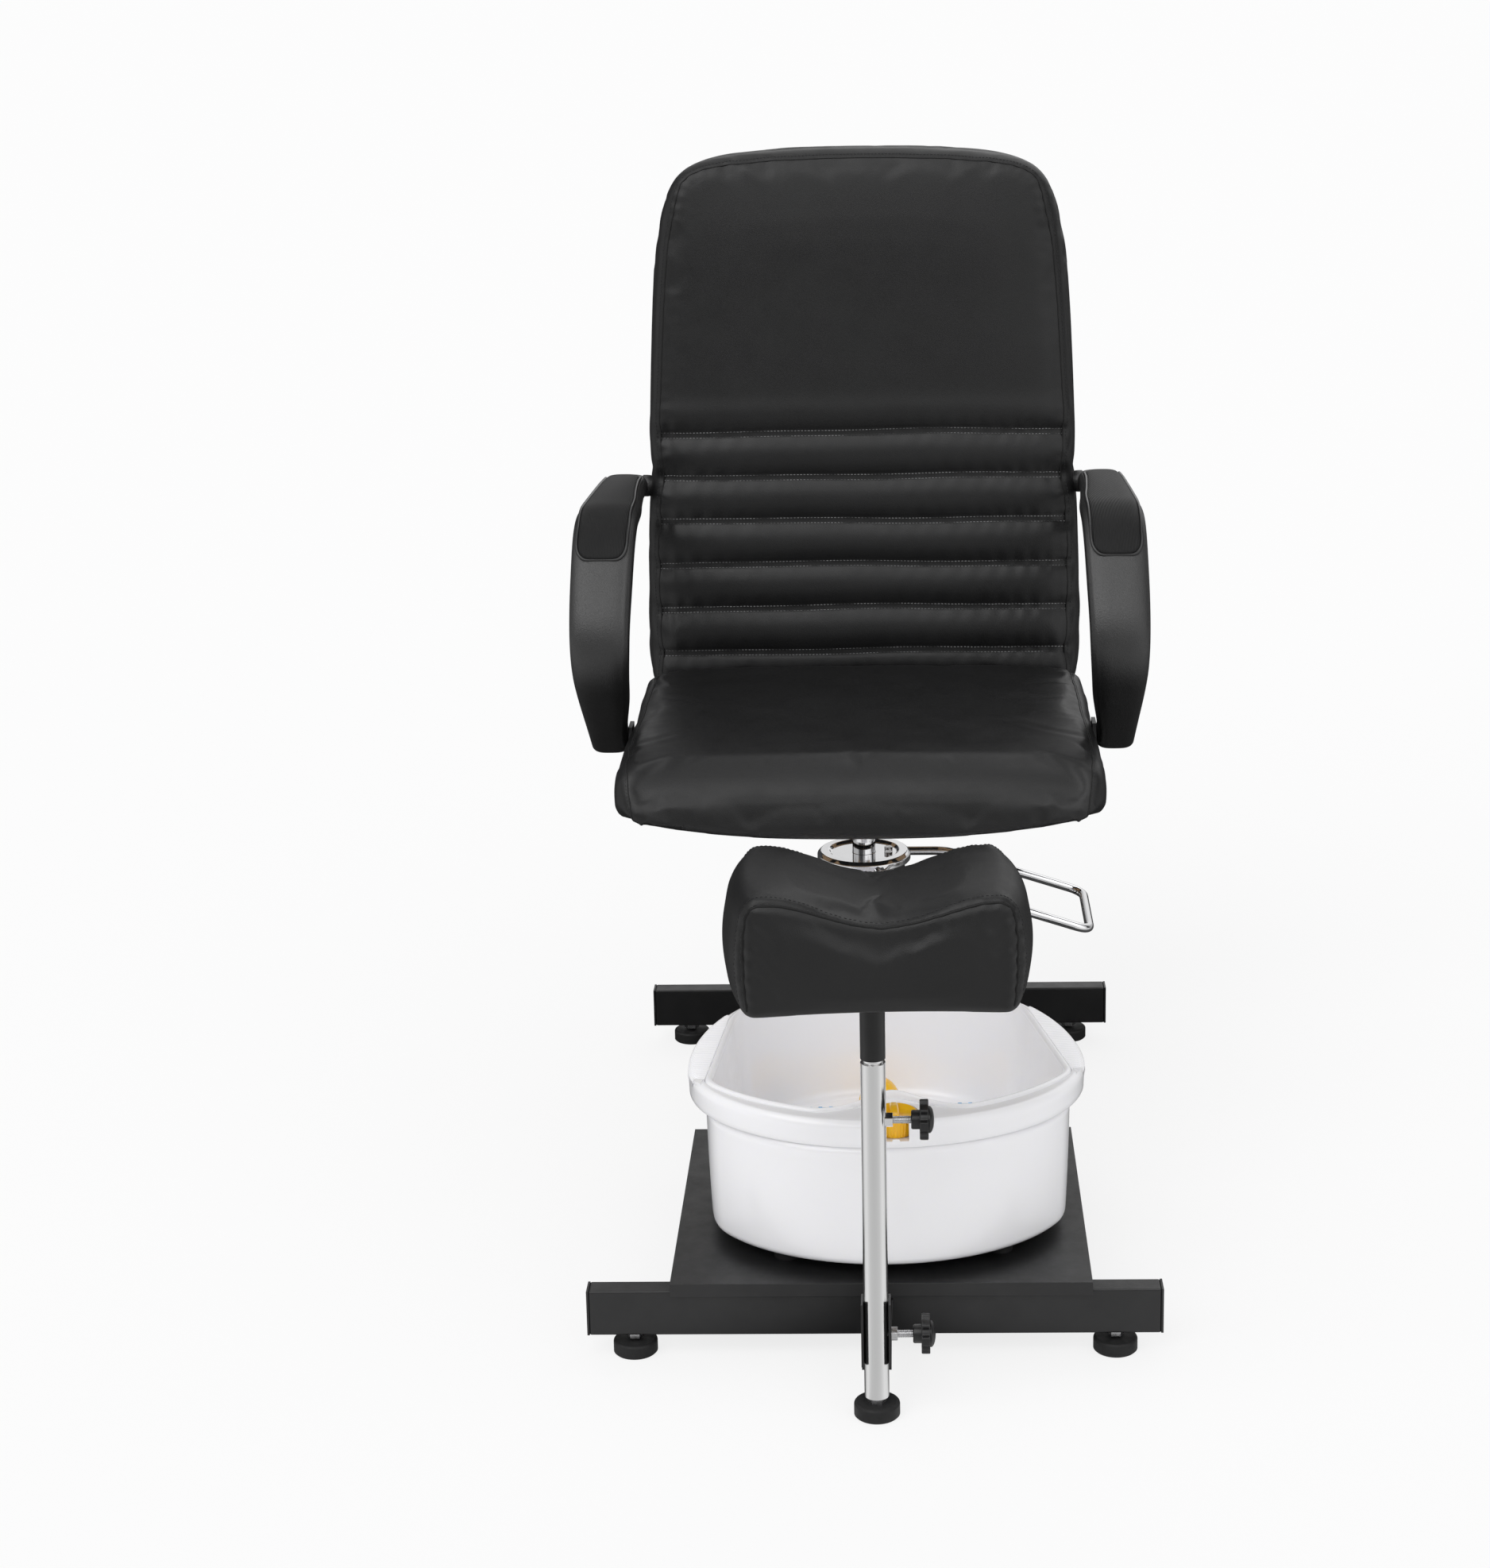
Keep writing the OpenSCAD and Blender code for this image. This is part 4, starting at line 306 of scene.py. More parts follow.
def make_materials():
    thread = surface("stitch_thread", (0.030, 0.030, 0.031), 0.6, (0.35, 2600, 2), specular=0.3)
    # Channel stitch thread painted light grey: a painted highlight that stands in for the glints on black
    # glossy thread; its noise tint varies the painted glints along the rows
    glint = Shader("thread_painted_glint", (0.115, 0.115, 0.117), 0.5, specular=0.4)
    glint.tint(glint.noise(90, 2, 0.4, stretch=(0.4, 1, 1)), 0.75, 0.35, 0.6)
    for s in (thread, glint):
        s.raise_by(s.wave(900, (1, 1, 1)), 0.0001, 0.5)
    pad = surface("arm_pad_skin", (0.0075, 0.0075, 0.0077), 0.48, (0.14, 40, 3), specular=0.27)
    pad.raise_by(pad.wave(250, (1.0, 0.55, 0.35)), 0.00045, 0.75)
    pad.raise_by(pad.noise(900, 2), 0.0001, 0.3)
    panel = surface("back_panel", (0.009, 0.009, 0.0093), 0.56, (0.16, 12, 4), specular=0.35)
    panel.raise_by(panel.cells(900), 0.0002, 0.5)
    panel.raise_by(panel.noise(240, 3), 0.0002, 0.3)
    white = surface("white_plastic", (0.935, 0.932, 0.955), 0.20, (0.012, 5, 3), (0.16, 0.26, 18, 4),
                    [(0.0007, 0.12, 24, 2)], coat=0.25, coat_rough=0.08)
    white.set({"Subsurface Weight": 0.12, "Subsurface Radius": (0.004, 0.004, 0.005)})
    orange = surface("orange_plastic", (0.96, 0.52, 0.008), 0.18, (0.08, 50, 3), (0.14, 0.24, 80, 3),
                     [(0.00005, 0.2, 300, 2)], coat=0.3, coat_rough=0.06)
    orange.set({"Subsurface Weight": 0.3, "Subsurface Radius": (0.01, 0.004, 0.001)})
    plain = [
        surface("welt", (0.006, 0.006, 0.006), 0.5, (0.2, 60, 3), None, [(0.0001, 0.5, 900, 3)],
                specular=0.3),
        surface("frame_steel", (0.0085, 0.0085, 0.0090), 0.40, (0.14, 14, 3), (0.34, 0.50, 40, 5, 0.65),
                [(0.00010, 0.35, 900, 3, 0.6)], coat=0.1, coat_rough=0.25),
        surface("chrome", (0.86, 0.86, 0.87), 0.055, None, (0.035, 0.11, 70, 5, 0.7),
                [(0.00001, 0.12, 1500, 2, 0.5, (1, 1, 0.04))], metal=1.0),
        surface("satin_tube", (0.80, 0.80, 0.80), 0.17, None, (0.13, 0.24, 55, 5, 0.7, (1, 1, 0.3)),
                [(0.00001, 0.25, 2200, 2, 0.5, (1, 1, 0.015))], metal=1.0),
        surface("fastener_steel", (0.62, 0.62, 0.63), 0.25, (0.12, 300, 3), (0.18, 0.36, 240, 4),
                [(0.00003, 0.3, 1800, 2)], metal=1.0),
        surface("black_rubber", (0.011, 0.011, 0.0113), 0.58, (0.2, 40, 4), (0.52, 0.72, 110, 4),
                [(0.00012, 0.5, 1200, 3, 0.6)], specular=0.4),
        surface("black_plastic", (0.010, 0.010, 0.0105), 0.34, (0.2, 60, 3), (0.28, 0.42, 90, 4),
                [(0.00008, 0.35, 1500, 3, 0.6)]),
        surface("arm_foam", (0.0080, 0.0080, 0.0082), 0.40, (0.16, 30, 4), (0.34, 0.47, 500, 4),
                [(0.00055, 0.9, 620, 3, 0.7)], specular=0.85),
        surface("arm_gloss", (0.0080, 0.0080, 0.0082), 0.28, (0.16, 30, 4), (0.26, 0.36, 400, 4),
                [(0.0001, 0.4, 700, 3, 0.7)], coat=0.2, coat_rough=0.2),
        surface("sleeve", (0.0080, 0.0080, 0.0083), 0.34, (0.16, 30, 3),
                (0.30, 0.44, 90, 4, 0.6, (1, 1, 0.3)), [(0.00006, 0.35, 1200, 3, 0.6)], specular=0.45),
        surface("plywood", (0.36, 0.235, 0.13), 0.62, (0.30, 22, 6, 0.65, (1, 9, 9), 0.8),
                (0.55, 0.75, 60, 3), [(0.0002, 0.4, 300, 4, 0.55, (0.2, 1, 1))], specular=0.3),
        surface("blue_plastic", (0.16, 0.45, 0.74), 0.25, (0.08, 60, 3), (0.2, 0.32, 80, 3),
                [(0.00005, 0.25, 400, 2)]),
        surface("heater_metal", (0.55, 0.55, 0.56), 0.4, (0.1, 120, 3), None,
                [(0.00005, 0.4, 900, 2)], metal=1.0),
        surface("motor_metal", (0.30, 0.30, 0.31), 0.45, (0.1, 120, 3), None,
                [(0.00005, 0.4, 900, 2)], metal=0.3),
    ]
    m = {s.name: s.mat for s in plain + [pad, panel, white, orange]}
    m.update(leather=leather().mat, thread=thread.mat, glint=glint.mat)
    return m


# Mesh helpers, in millimetres
def make_object(name, verts, faces, mat, smooth=True):
    mesh = bpy.data.meshes.new(name)
    mesh.from_pydata([tuple(v) for v in np.asarray(verts) * MM], [], [tuple(f) for f in faces])
    mesh.validate()
    mesh.update()
    if smooth:
        mesh.polygons.foreach_set("use_smooth", [True] * len(mesh.polygons))
    mesh.materials.append(mat)
    obj = bpy.data.objects.new(name, mesh)
    bpy.context.scene.collection.objects.link(obj)
    return obj


def ring_quads(rows, count, start=0):
    faces = []
    for i in range(rows - 1):
        for j in range(count):
            a = start + i * count + j
            b = start + i * count + (j + 1) % count
            faces.append((a, b, b + count, a + count))
    return faces


def circle(r, z, ts):
    """Points round the Z axis at the angles ts."""
    return np.column_stack([r * np.cos(ts), r * np.sin(ts), np.full(len(ts), z)])


def around(count):
    return np.linspace(0, 2 * math.pi, count, endpoint=False)


def turned(p, turn, x, y):
    """Points turned about the upright axis and moved to x, y."""
    c, s = math.cos(turn), math.sin(turn)
    return np.column_stack([x + p[:, 0] * c - p[:, 1] * s, y + p[:, 0] * s + p[:, 1] * c, p[:, 2]])


def loft(rings):
    """Verts and faces of a closed skin over rings that hold the same number of points."""
    rings = [np.asarray(r, float) for r in rings]
    n = len(rings[0])
    verts = list(np.concatenate(rings))
    faces = ring_quads(len(rings), n)
    verts.append(rings[0].mean(0))
    c = len(verts) - 1
    faces += [(c, (j + 1) % n, j) for j in range(n)]
    verts.append(rings[-1].mean(0))
    c = len(verts) - 1
    base = (len(rings) - 1) * n
    faces += [(c, base + j, base + (j + 1) % n) for j in range(n)]
    return verts, faces


def select_only(objects):
    """Selects these objects alone, the first one active."""
    bpy.context.view_layer.objects.active = objects[0]
    for o in bpy.context.selected_objects:
        o.select_set(False)
    for o in objects:
        o.select_set(True)


def face_out(obj):
    """Points the faces outwards."""
    select_only([obj])
    bpy.ops.object.mode_set(mode="EDIT")
    bpy.ops.mesh.select_all(action="SELECT")
    bpy.ops.mesh.normals_make_consistent(inside=False)
    bpy.ops.object.mode_set(mode="OBJECT")


def skin(name, rings, mat, sharp=None, smooth=True):
    """A lofted object with its faces outwards, sharp at edges over an angle in degrees."""
    verts, faces = loft(rings)
    obj = make_object(name, verts, faces, mat, smooth)
    face_out(obj)
    if sharp:
        obj.data.set_sharp_from_angle(angle=math.radians(sharp))
    return obj


def ease(t):
    t = np.clip(t, 0, 1)
    return (3 - 2 * t) * t * t


def vertex_values(mesh, key):
    values = np.zeros(len(mesh.vertices) * 3)
    mesh.vertices.foreach_get(key, values)
    return values.reshape(-1, 3)


def coords(obj):
    return vertex_values(obj.data, "co")


def set_coords(obj, co):
    obj.data.vertices.foreach_set("co", np.asarray(co, float).ravel())
    obj.data.update()


def normals(obj):
    return vertex_values(obj.data, "normal")


def baked(obj):
    """Applies every modifier of obj."""
    graph = bpy.context.evaluated_depsgraph_get()
    mesh = bpy.data.meshes.new_from_object(obj.evaluated_get(graph), depsgraph=graph)
    old = obj.data
    obj.modifiers.clear()
    obj.data = mesh
    bpy.data.meshes.remove(old)
    obj.data.polygons.foreach_set("use_smooth", [True] * len(obj.data.polygons))


def inflate(obj, held, pressure, cap, frames=16):
    """Lets the cover swell under air pressure, holds the points in held, and caps the movement in mm."""
    scene = bpy.context.scene
    before = coords(obj)
    group = obj.vertex_groups.new(name="held")
    group.add([int(i) for i in np.nonzero(held)[0]], 1.0, "REPLACE")
    cloth = obj.modifiers.new("cloth", "CLOTH")
    s = cloth.settings
    s.quality = 6
    s.mass = 0.35
    s.tension_stiffness = 25
    s.compression_stiffness = 25
    s.shear_stiffness = 8
    s.bending_stiffness = 2.5
    s.use_pressure = True
    s.uniform_pressure_force = pressure
    s.vertex_group_mass = "held"
    s.effector_weights.gravity = 0
    cloth.collision_settings.use_collision = False
    cloth.point_cache.frame_start = 1
    cloth.point_cache.frame_end = frames
    for f in range(1, frames + 1):
        scene.frame_set(f)
    graph = bpy.context.evaluated_depsgraph_get()
    after = vertex_values(obj.evaluated_get(graph).data, "co")
    obj.modifiers.clear()
    scene.frame_set(1)
    move = after - before
    size = np.linalg.norm(move, axis=1, keepdims=True)
    limit = cap * MM
    move *= np.where(size > limit, limit / np.maximum(size, 1e-9), 1.0)
    set_coords(obj, before + move)
    obj.vertex_groups.clear()


def soften(path, rounds):
    """Evens out a path, or a row of values, between its fixed ends."""
    for _ in range(rounds):
        path[1:-1] = 0.5 * path[1:-1] + 0.25 * (path[2:] + path[:-2])


def relax(obj, rounds):
    smooth = obj.modifiers.new("smooth", "SMOOTH")
    smooth.factor = 0.5
    smooth.iterations = rounds
    baked(obj)


def subdivide(obj):
    sub = obj.modifiers.new("sub", "SUBSURF")
    sub.levels = 1
    sub.render_levels = 1
    sub.boundary_smooth = "ALL"
    baked(obj)


def dense(path, step):
    """A path's points at even steps, in mm."""
    path = np.asarray(path, float)
    seg = np.linalg.norm(np.diff(path, axis=0), axis=1)
    along = np.concatenate([[0], np.cumsum(seg)])
    count = max(2, int(round(along[-1] / step)) + 1)
    at = np.linspace(0, along[-1], count)
    return np.stack([np.interp(at, along, path[:, k]) for k in range(3)], 1)


def near_paths(obj, paths, step=1.5):
    """Distance of each vertex to the nearest path, with the place along it, in mm."""
    points, run = [], []
    for p in paths:
        d = dense(p, step)
        points.append(d)
        run.append(np.arange(len(d)) * step)
    points, run = np.concatenate(points) * MM, np.concatenate(run)
    tree = KDTree(len(points))
    for i, p in enumerate(points):
        tree.insert(p, i)
    tree.balance()
    hits = [tree.find(c) for c in coords(obj)]
    return np.array([h[2] for h in hits]) / MM, run[[h[1] for h in hits]]


def press(obj, paths, depth, width, lift=0.0, reach=0.0):
    """Presses a seam into the surface along paths, with a soft swell beside it."""
    far, _ = near_paths(obj, paths)
    move = -depth * np.exp(-((far / width) ** 2))
    if lift:
        move += lift * np.exp(-(((far - reach) / (0.6 * reach)) ** 2))
    set_coords(obj, coords(obj) + normals(obj) * (move * MM)[:, None])


def on_surface(obj, path, step, aim=None):
    """Points of a path laid on obj's surface, straight along aim or at the nearest place."""
    tree = BVHTree.FromObject(obj, bpy.context.evaluated_depsgraph_get())
    points, ups = [], []
    for p in dense(path, step):
        start = Vector(p * MM)
        hit = (None, None) if aim is None else tree.ray_cast(start - aim * 0.06, aim)
        if hit[0] is None:
            hit = tree.find_nearest(start)
        points.append(np.array(hit[0]) / MM)
        ups.append(np.array(hit[1]))
    return np.array(points), np.array(ups)


def stitches(name, obj, paths, pitch, length, radius, mat, body="seat"):
    """One mesh of threads laid along paths on obj's surface."""
    verts, faces = [], []
    sides = 6
    shape = [(-0.5, 0.35), (-0.34, 0.85), (0.0, 1.0), (0.34, 0.85), (0.5, 0.35)]
    droop = 0.2
    for path in paths:
        points, ups = on_surface(obj, path, pitch)
        for i in range(1, len(points) - 1):
            t = points[i + 1] - points[i - 1]
            t /= max(np.linalg.norm(t), 1e-9)
            n = ups[i] - t * (ups[i] @ t)
            n /= max(np.linalg.norm(n), 1e-9)
            s = np.cross(t, n)
            start = len(verts)
            for at, wide in shape:
                lift = radius * (wide - droop * abs(at)) * 0.5
                c = points[i] + t * at * length + n * lift
                for k in range(sides):
                    a = 2 * math.pi * k / sides
                    verts.append(c + radius * wide * (math.cos(a) * s + math.sin(a) * n))
            faces += ring_quads(len(shape), sides, start)
            faces.append(tuple(start + k for k in reversed(range(sides))))
            faces.append(tuple(start + (len(shape) - 1) * sides + k for k in range(sides)))
    fit(make_object(name, verts, faces, mat), body)


def tube(name, path, radius, mat, sides=10):
    """A round cord along a path, in mm."""
    path = np.asarray(path, float)
    tangents = np.gradient(path, axis=0)
    tangents /= np.linalg.norm(tangents, axis=1, keepdims=True)
    up = np.array([0.0, 0.0, 1.0]) if abs(tangents[0][2]) < 0.9 else np.array([1.0, 0.0, 0.0])
    rings = []
    side = np.cross(tangents[0], up)
    side /= np.linalg.norm(side)
    for p, t in zip(path, tangents):
        side = side - t * (side @ t)
        side /= np.linalg.norm(side)
        lift = np.cross(side, t)
        rings.append([p + radius * (math.cos(a) * side + math.sin(a) * lift) for a in around(sides)])
    verts, faces = loft(rings)
    return make_object(name, verts, faces, mat)


# Cushions


def fit(piece, body, node=None):
    """Puts a piece on its body, and in the place of a solid of the frame."""
    if node:
        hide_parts(node)
    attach(piece, body)


def mirrored_outline(half, step, rounds=3):
    """Closed outline from its right half, front middle first, with outward normals."""
    half = np.asarray(half, float)
    left = half[::-1] * (-1, 1)
    loop = np.concatenate([half, left])
    keep = np.r_[True, np.linalg.norm(np.diff(loop, axis=0), axis=1) > 1e-6]
    loop = loop[keep]
    closed = np.vstack([loop, loop[:1]])
    seg = np.r_[0, np.cumsum(np.linalg.norm(np.diff(closed, axis=0), axis=1))]
    count = int(seg[-1] / step)
    at = np.arange(count) * seg[-1] / count
    plan = np.stack([np.interp(at, seg, closed[:, k]) for k in (0, 1)], 1)
    for _ in range(rounds):
        plan = 0.5 * plan + 0.25 * (np.roll(plan, 1, 0) + np.roll(plan, -1, 0))
    t = np.roll(plan, -1, 0) - np.roll(plan, 1, 0)
    t /= np.linalg.norm(t, axis=1, keepdims=True)
    return plan, np.stack([t[:, 1], -t[:, 0]], 1)


def pillow(name, plan, out, high, low, r_top, r_low, bulge, place, mat, voxel=5.0):
    """Closed padded form over a plan outline, remeshed evenly and put in place."""
    rings = []
    centre = plan.mean(0)
    base = plan - out * r_low[:, None]
    top = plan - out * r_top[:, None]

    def add(p, z):
        rings.append(np.column_stack([p, z]))

    for k in np.linspace(0.06, 0.95, 10):
        p = centre + (base - centre) * k
        add(p, low(p[:, 0], p[:, 1]))
    for a in np.radians(np.linspace(0, 90, 7)):
        p = plan - out * (r_low * (1 - math.sin(a)))[:, None]
        add(p, low(p[:, 0], p[:, 1]) + r_low * (1 - math.cos(a)))
    z0 = low(plan[:, 0], plan[:, 1]) + r_low
    z1 = high(plan[:, 0], plan[:, 1]) - r_top
    for t in np.linspace(0, 1, 8)[1:-1]:
        add(plan + out * (bulge * math.sin(math.pi * t))[:, None], z0 + (z1 - z0) * t)
    for a in np.radians(np.linspace(0, 90, 9)):
        p = plan - out * (r_top * (1 - math.cos(a)))[:, None]
        add(p, high(p[:, 0], p[:, 1]) - r_top * (1 - math.sin(a)))
    for k in np.linspace(0.95, 0.06, 12):
        p = centre + (top - centre) * k
        add(p, high(p[:, 0], p[:, 1]))
    obj = skin(name, rings, mat)
    mesh = obj.modifiers.new("voxels", "REMESH")
    mesh.mode = "VOXEL"
    mesh.voxel_size = voxel * MM
    baked(obj)
    relax(obj, 2)
    set_coords(obj, place(coords(obj) / MM) * MM)
    return obj


def pucker(obj, paths, amount, pitch, reach, seed=0.0):
    """Small gathers that leave a seam at right angles and fade out."""
    far, run = near_paths(obj, paths)
    beat = np.sin(2 * math.pi * run / pitch + 1.7 * np.sin(run / 41 + seed))
    beat *= 0.55 + 0.45 * np.sin(run / 67 + 2 * seed)
    fade = np.exp(-((far - 4) / reach) ** 2)
    set_coords(obj, coords(obj) + normals(obj) * (amount * MM * beat * fade)[:, None])


def seam(name, obj, paths, body, radius, sink, mat):
    """A dark cord sunk along each path on obj's surface."""
    pieces = []
    for i, path in enumerate(paths):
        points, ups = on_surface(obj, path, 3.0)
        soften(points, 2)
        pieces.append(tube(f"{name}_{i}" if len(paths) > 1 else name, points - ups * sink, radius, mat))
    piece = pieces[0]
    if len(pieces) > 1:
        select_only(pieces)
        bpy.ops.object.join()
        piece.name = name
    fit(piece, body)


def shifted(path, sideways, obj, away):
    """A path moved sideways on the surface, away from a point, in mm."""
    points, ups = on_surface(obj, path, 5.0)
    t = np.gradient(points, axis=0)
    t /= np.linalg.norm(t, axis=1, keepdims=True)
    side = np.cross(t, ups)
    side /= np.linalg.norm(side, axis=1, keepdims=True)
    flip = np.sign(np.sum(side * (points - np.asarray(away, float)), axis=1, keepdims=True))
    return points + side * flip * sideways


def make_seat(m):
    half = [(0, -84), (238, -84), (255, -81), (268, -73), (276.5, -57), (280.5, -30), (282, 25)]
    half += [(283, 90), (281, 165), (278, 200), (280, 254), (281, 340), (280, 395), (272, 418), (254, 425)]
    half += [(0, 425)]
    plan, out = mirrored_outline(half, 7)
    to_front = np.clip(-out[:, 1], 0, 1)
    r_top = 17 + 41 * to_front**1.5
    r_low = 9 + 3 * np.clip(np.abs(out[:, 0]), 0, 1)

    def high(x, y):
        d = y - SEAT_FRONT
        wide = np.clip(np.abs(x) / 279, 0, 1)
        dish = -3 * np.exp(-((d - 300) / 130) ** 2) * (1 - wide**2)
        fall = 6 * np.clip(1 - d / 130, 0, 1) ** 2
        return SEAT_TOP + 10 * (1 - wide**2.4) - 7 * d / 510 + dish - fall

    def low(x, y):
        lip = 461.5 + 20.5 * np.clip(np.abs(x) / 243, 0, 1.08) ** 2.6
        share = 1 - ease((y - SEAT_FRONT) / 95)
        return SEAT_UNDER + share * (lip - SEAT_UNDER)

    obj = pillow("seat_leather", plan, out, high, low, r_top, r_low, np.full(len(plan), 2.0),
                 lambda p: p, m["leather"])
    inflate(obj, coords(obj)[:, 2] / MM < 474, 4.0, 4.5)
    subdivide(obj)
    sides = [[
        (s * 262, 418, 529), (s * 265, 340, 536), (s * 267, 250, 538), (s * 268, 150, 541),
        (s * 269, 50, 544), (s * 267, -20, 546), (s * 264, -50, 541), (s * 261, -72, 525),
        (s * 259, -83, 505), (s * 257, -84, 488),
    ] for s in (-1, 1)]
    press(obj, sides, 2.0, 3.2, 0.9, 10)
    pucker(obj, sides, 0.22, 31, 12)
    # faint sag creases that run in from the front corners and the rear
    creases = [
        [(256, 60, 548), (214, 84, 551), (176, 118, 552)], [(-258, 40, 548), (-222, 70, 551)],
        [(256, 250, 546), (218, 236, 549), (186, 240, 549)], [(-254, 262, 546), (-216, 240, 549)],
        [(252, 330, 544), (210, 306, 547)], [(250, 150, 548), (214, 158, 551)],
    ]
    press(obj, creases, 0.9, 7, 0.5, 14)
    fit(obj, "seat", "seat_cushion")
    seam("seat_seam", obj, sides, "seat", 0.8, 0.1, m["welt"])
    inner = [shifted(p, 2.4, obj, (0, 170, 540)) for p in sides]
    stitches("seat_stitches", obj, inner, 4.4, 2.9, 0.36, m["thread"])


def back_place(p):
    """Backrest plane, as across, up and out to the front, to the shared frame."""
    c, s = math.cos(BACK_LEAN), math.sin(BACK_LEAN)
    return np.column_stack([
        p[:, 0], BACK_Y - p[:, 2] * c + p[:, 1] * s, BACK_Z + p[:, 2] * s + p[:, 1] * c
    ])


BACK_SIDE = np.array([
    (0, 268), (20, 272.5), (54, 275), (120, 276.5), (187, 277.5), (240, 275.5), (275, 271.5),
    (298, 269.5), (315, 271), (340, 274), (410, 271.5), (480, 268), (540, 264), (583, 260),
    (620, 255), (645, 248), (660, 241.5), (674, 231), (684, 217), (692, 196), (698, 165),
    (702, 125), (705, 66), (706, 0),
], float)


def on_back(points, depth):
    """Points across and up the backrest, at one depth to the front, in the shared frame."""
    return back_place(np.array([(u, w, depth) for u, w in points], float))


def make_back(m):
    half = [(0, 0), (244, 0), (258, 4), (265, 12)] + [(x, w) for w, x in BACK_SIDE[1:]]
    plan, out = mirrored_outline(half, 7, 2)
    upward = np.clip(out[:, 1], 0, 1)
    r_top = 17 + 5 * upward
    r_low = 14 + 6 * upward

    def high(u, w):
        edge = np.interp(w, BACK_SIDE[:, 0], BACK_SIDE[:, 1])
        wide = np.clip(np.abs(u) / edge, 0, 1)
        rise = ease(w / 60) * ease((708 - w) / 130)
        return -1.5 + (11.5 * (1 - wide**3)) * rise

    def low(u, w):
        return np.full_like(u, -83.5) + 6 * ease((w - 640) / 90)

    obj = pillow("back_leather", plan, out, high, low, r_top, r_low, np.full(len(plan), 1.5),
                 back_place, m["leather"], 5.5)
    co = coords(obj) / MM
    depth = (BACK_Y - co[:, 1]) * math.cos(BACK_LEAN) + (co[:, 2] - BACK_Z) * math.sin(BACK_LEAN)
    inflate(obj, depth < -80, 4.0, 4.0)
    subdivide(obj)

    channels, doubles = [], []
    aim = Vector((0, math.cos(BACK_LEAN), -math.sin(BACK_LEAN)))
    for i in range(CHANNELS):
        w0 = CHANNEL_LOW + CHANNEL_STEP * i
        us = np.linspace(-1, 1, 41)
        wave = 1.6 * np.cos(us * 1.5) + 1.0 * np.sin(3.1 * us + 1.3 * i) + 0.5 * np.sin(7.7 * us + i)
        reach = np.interp(w0, BACK_SIDE[:, 0], BACK_SIDE[:, 1]) - 15
        line = np.stack([us * reach, w0 + wave], 1)
        channels.append(on_back(line, BACK_FACE))
        doubles += [on_back(line + (0, STITCH_AWAY), BACK_FACE), on_back(line - (0, STITCH_AWAY), BACK_FACE)]
    channels = [on_surface(obj, p, 3.0, aim)[0] for p in channels]
    press(obj, channels, 3.6, 11.5, 2.2, 27)
    doubles = [on_surface(obj, p, 3.0, aim)[0] for p in doubles]
    press(obj, doubles, 0.9, 2.2)
    doubles = [on_surface(obj, p, 3.0, aim)[0] for p in doubles]
    pucker(obj, channels, 0.5, 23, 13, 0.7)
    rim = [(x - 13 * min(1, 0.4 + w / 40), w) for w, x in BACK_SIDE[2:17]]
    bend = [(196, 681), (160, 686.5), (118, 690), (60, 692), (0, 692.5)]
    right = [(rim[0][0], 6)] + rim[:-3] + [(228, 663), (214, 674)] + bend
    edge = [on_back(right + [(-u, w) for u, w in right[-2::-1]], 6)]
    press(obj, edge, 2.2, 3.4, 0.8, 9)
    pucker(obj, edge, 0.45, 17, 10, 2.1)
    fit(obj, "seat", "back_cushion")
    seam("back_seam", obj, edge, "seat", 0.85, 0.1, m["welt"])
    outer = [shifted(edge[0], 6.0, obj, on_back([(0, 300)], 0)[0])]
    stitches("back_stitches", obj, outer, 4.4, 2.9, 0.36, m["thread"])
    stitches("back_channel_stitches", obj, doubles, 4.3, 2.9, 0.56, m["glint"])
    # piping round the rear panel
    rear = [(x - 9, w) for w, x in BACK_SIDE[1:17]] + [(188, 687), (150, 693), (100, 697), (0, 700)]
    line = [on_back(rear + [(-u, w) for u, w in rear[-2::-1]], -82)]
    seam("back_rear_piping", obj, line, "seat", 2.0, 0.2, m["leather"])


def pad_place(p):
    """Footrest plan, as across, back and height, to the shared frame."""
    return turned(p + (PAD_SHIFT, 0, 0), PAD_TURN, POST_X, POST_Y)


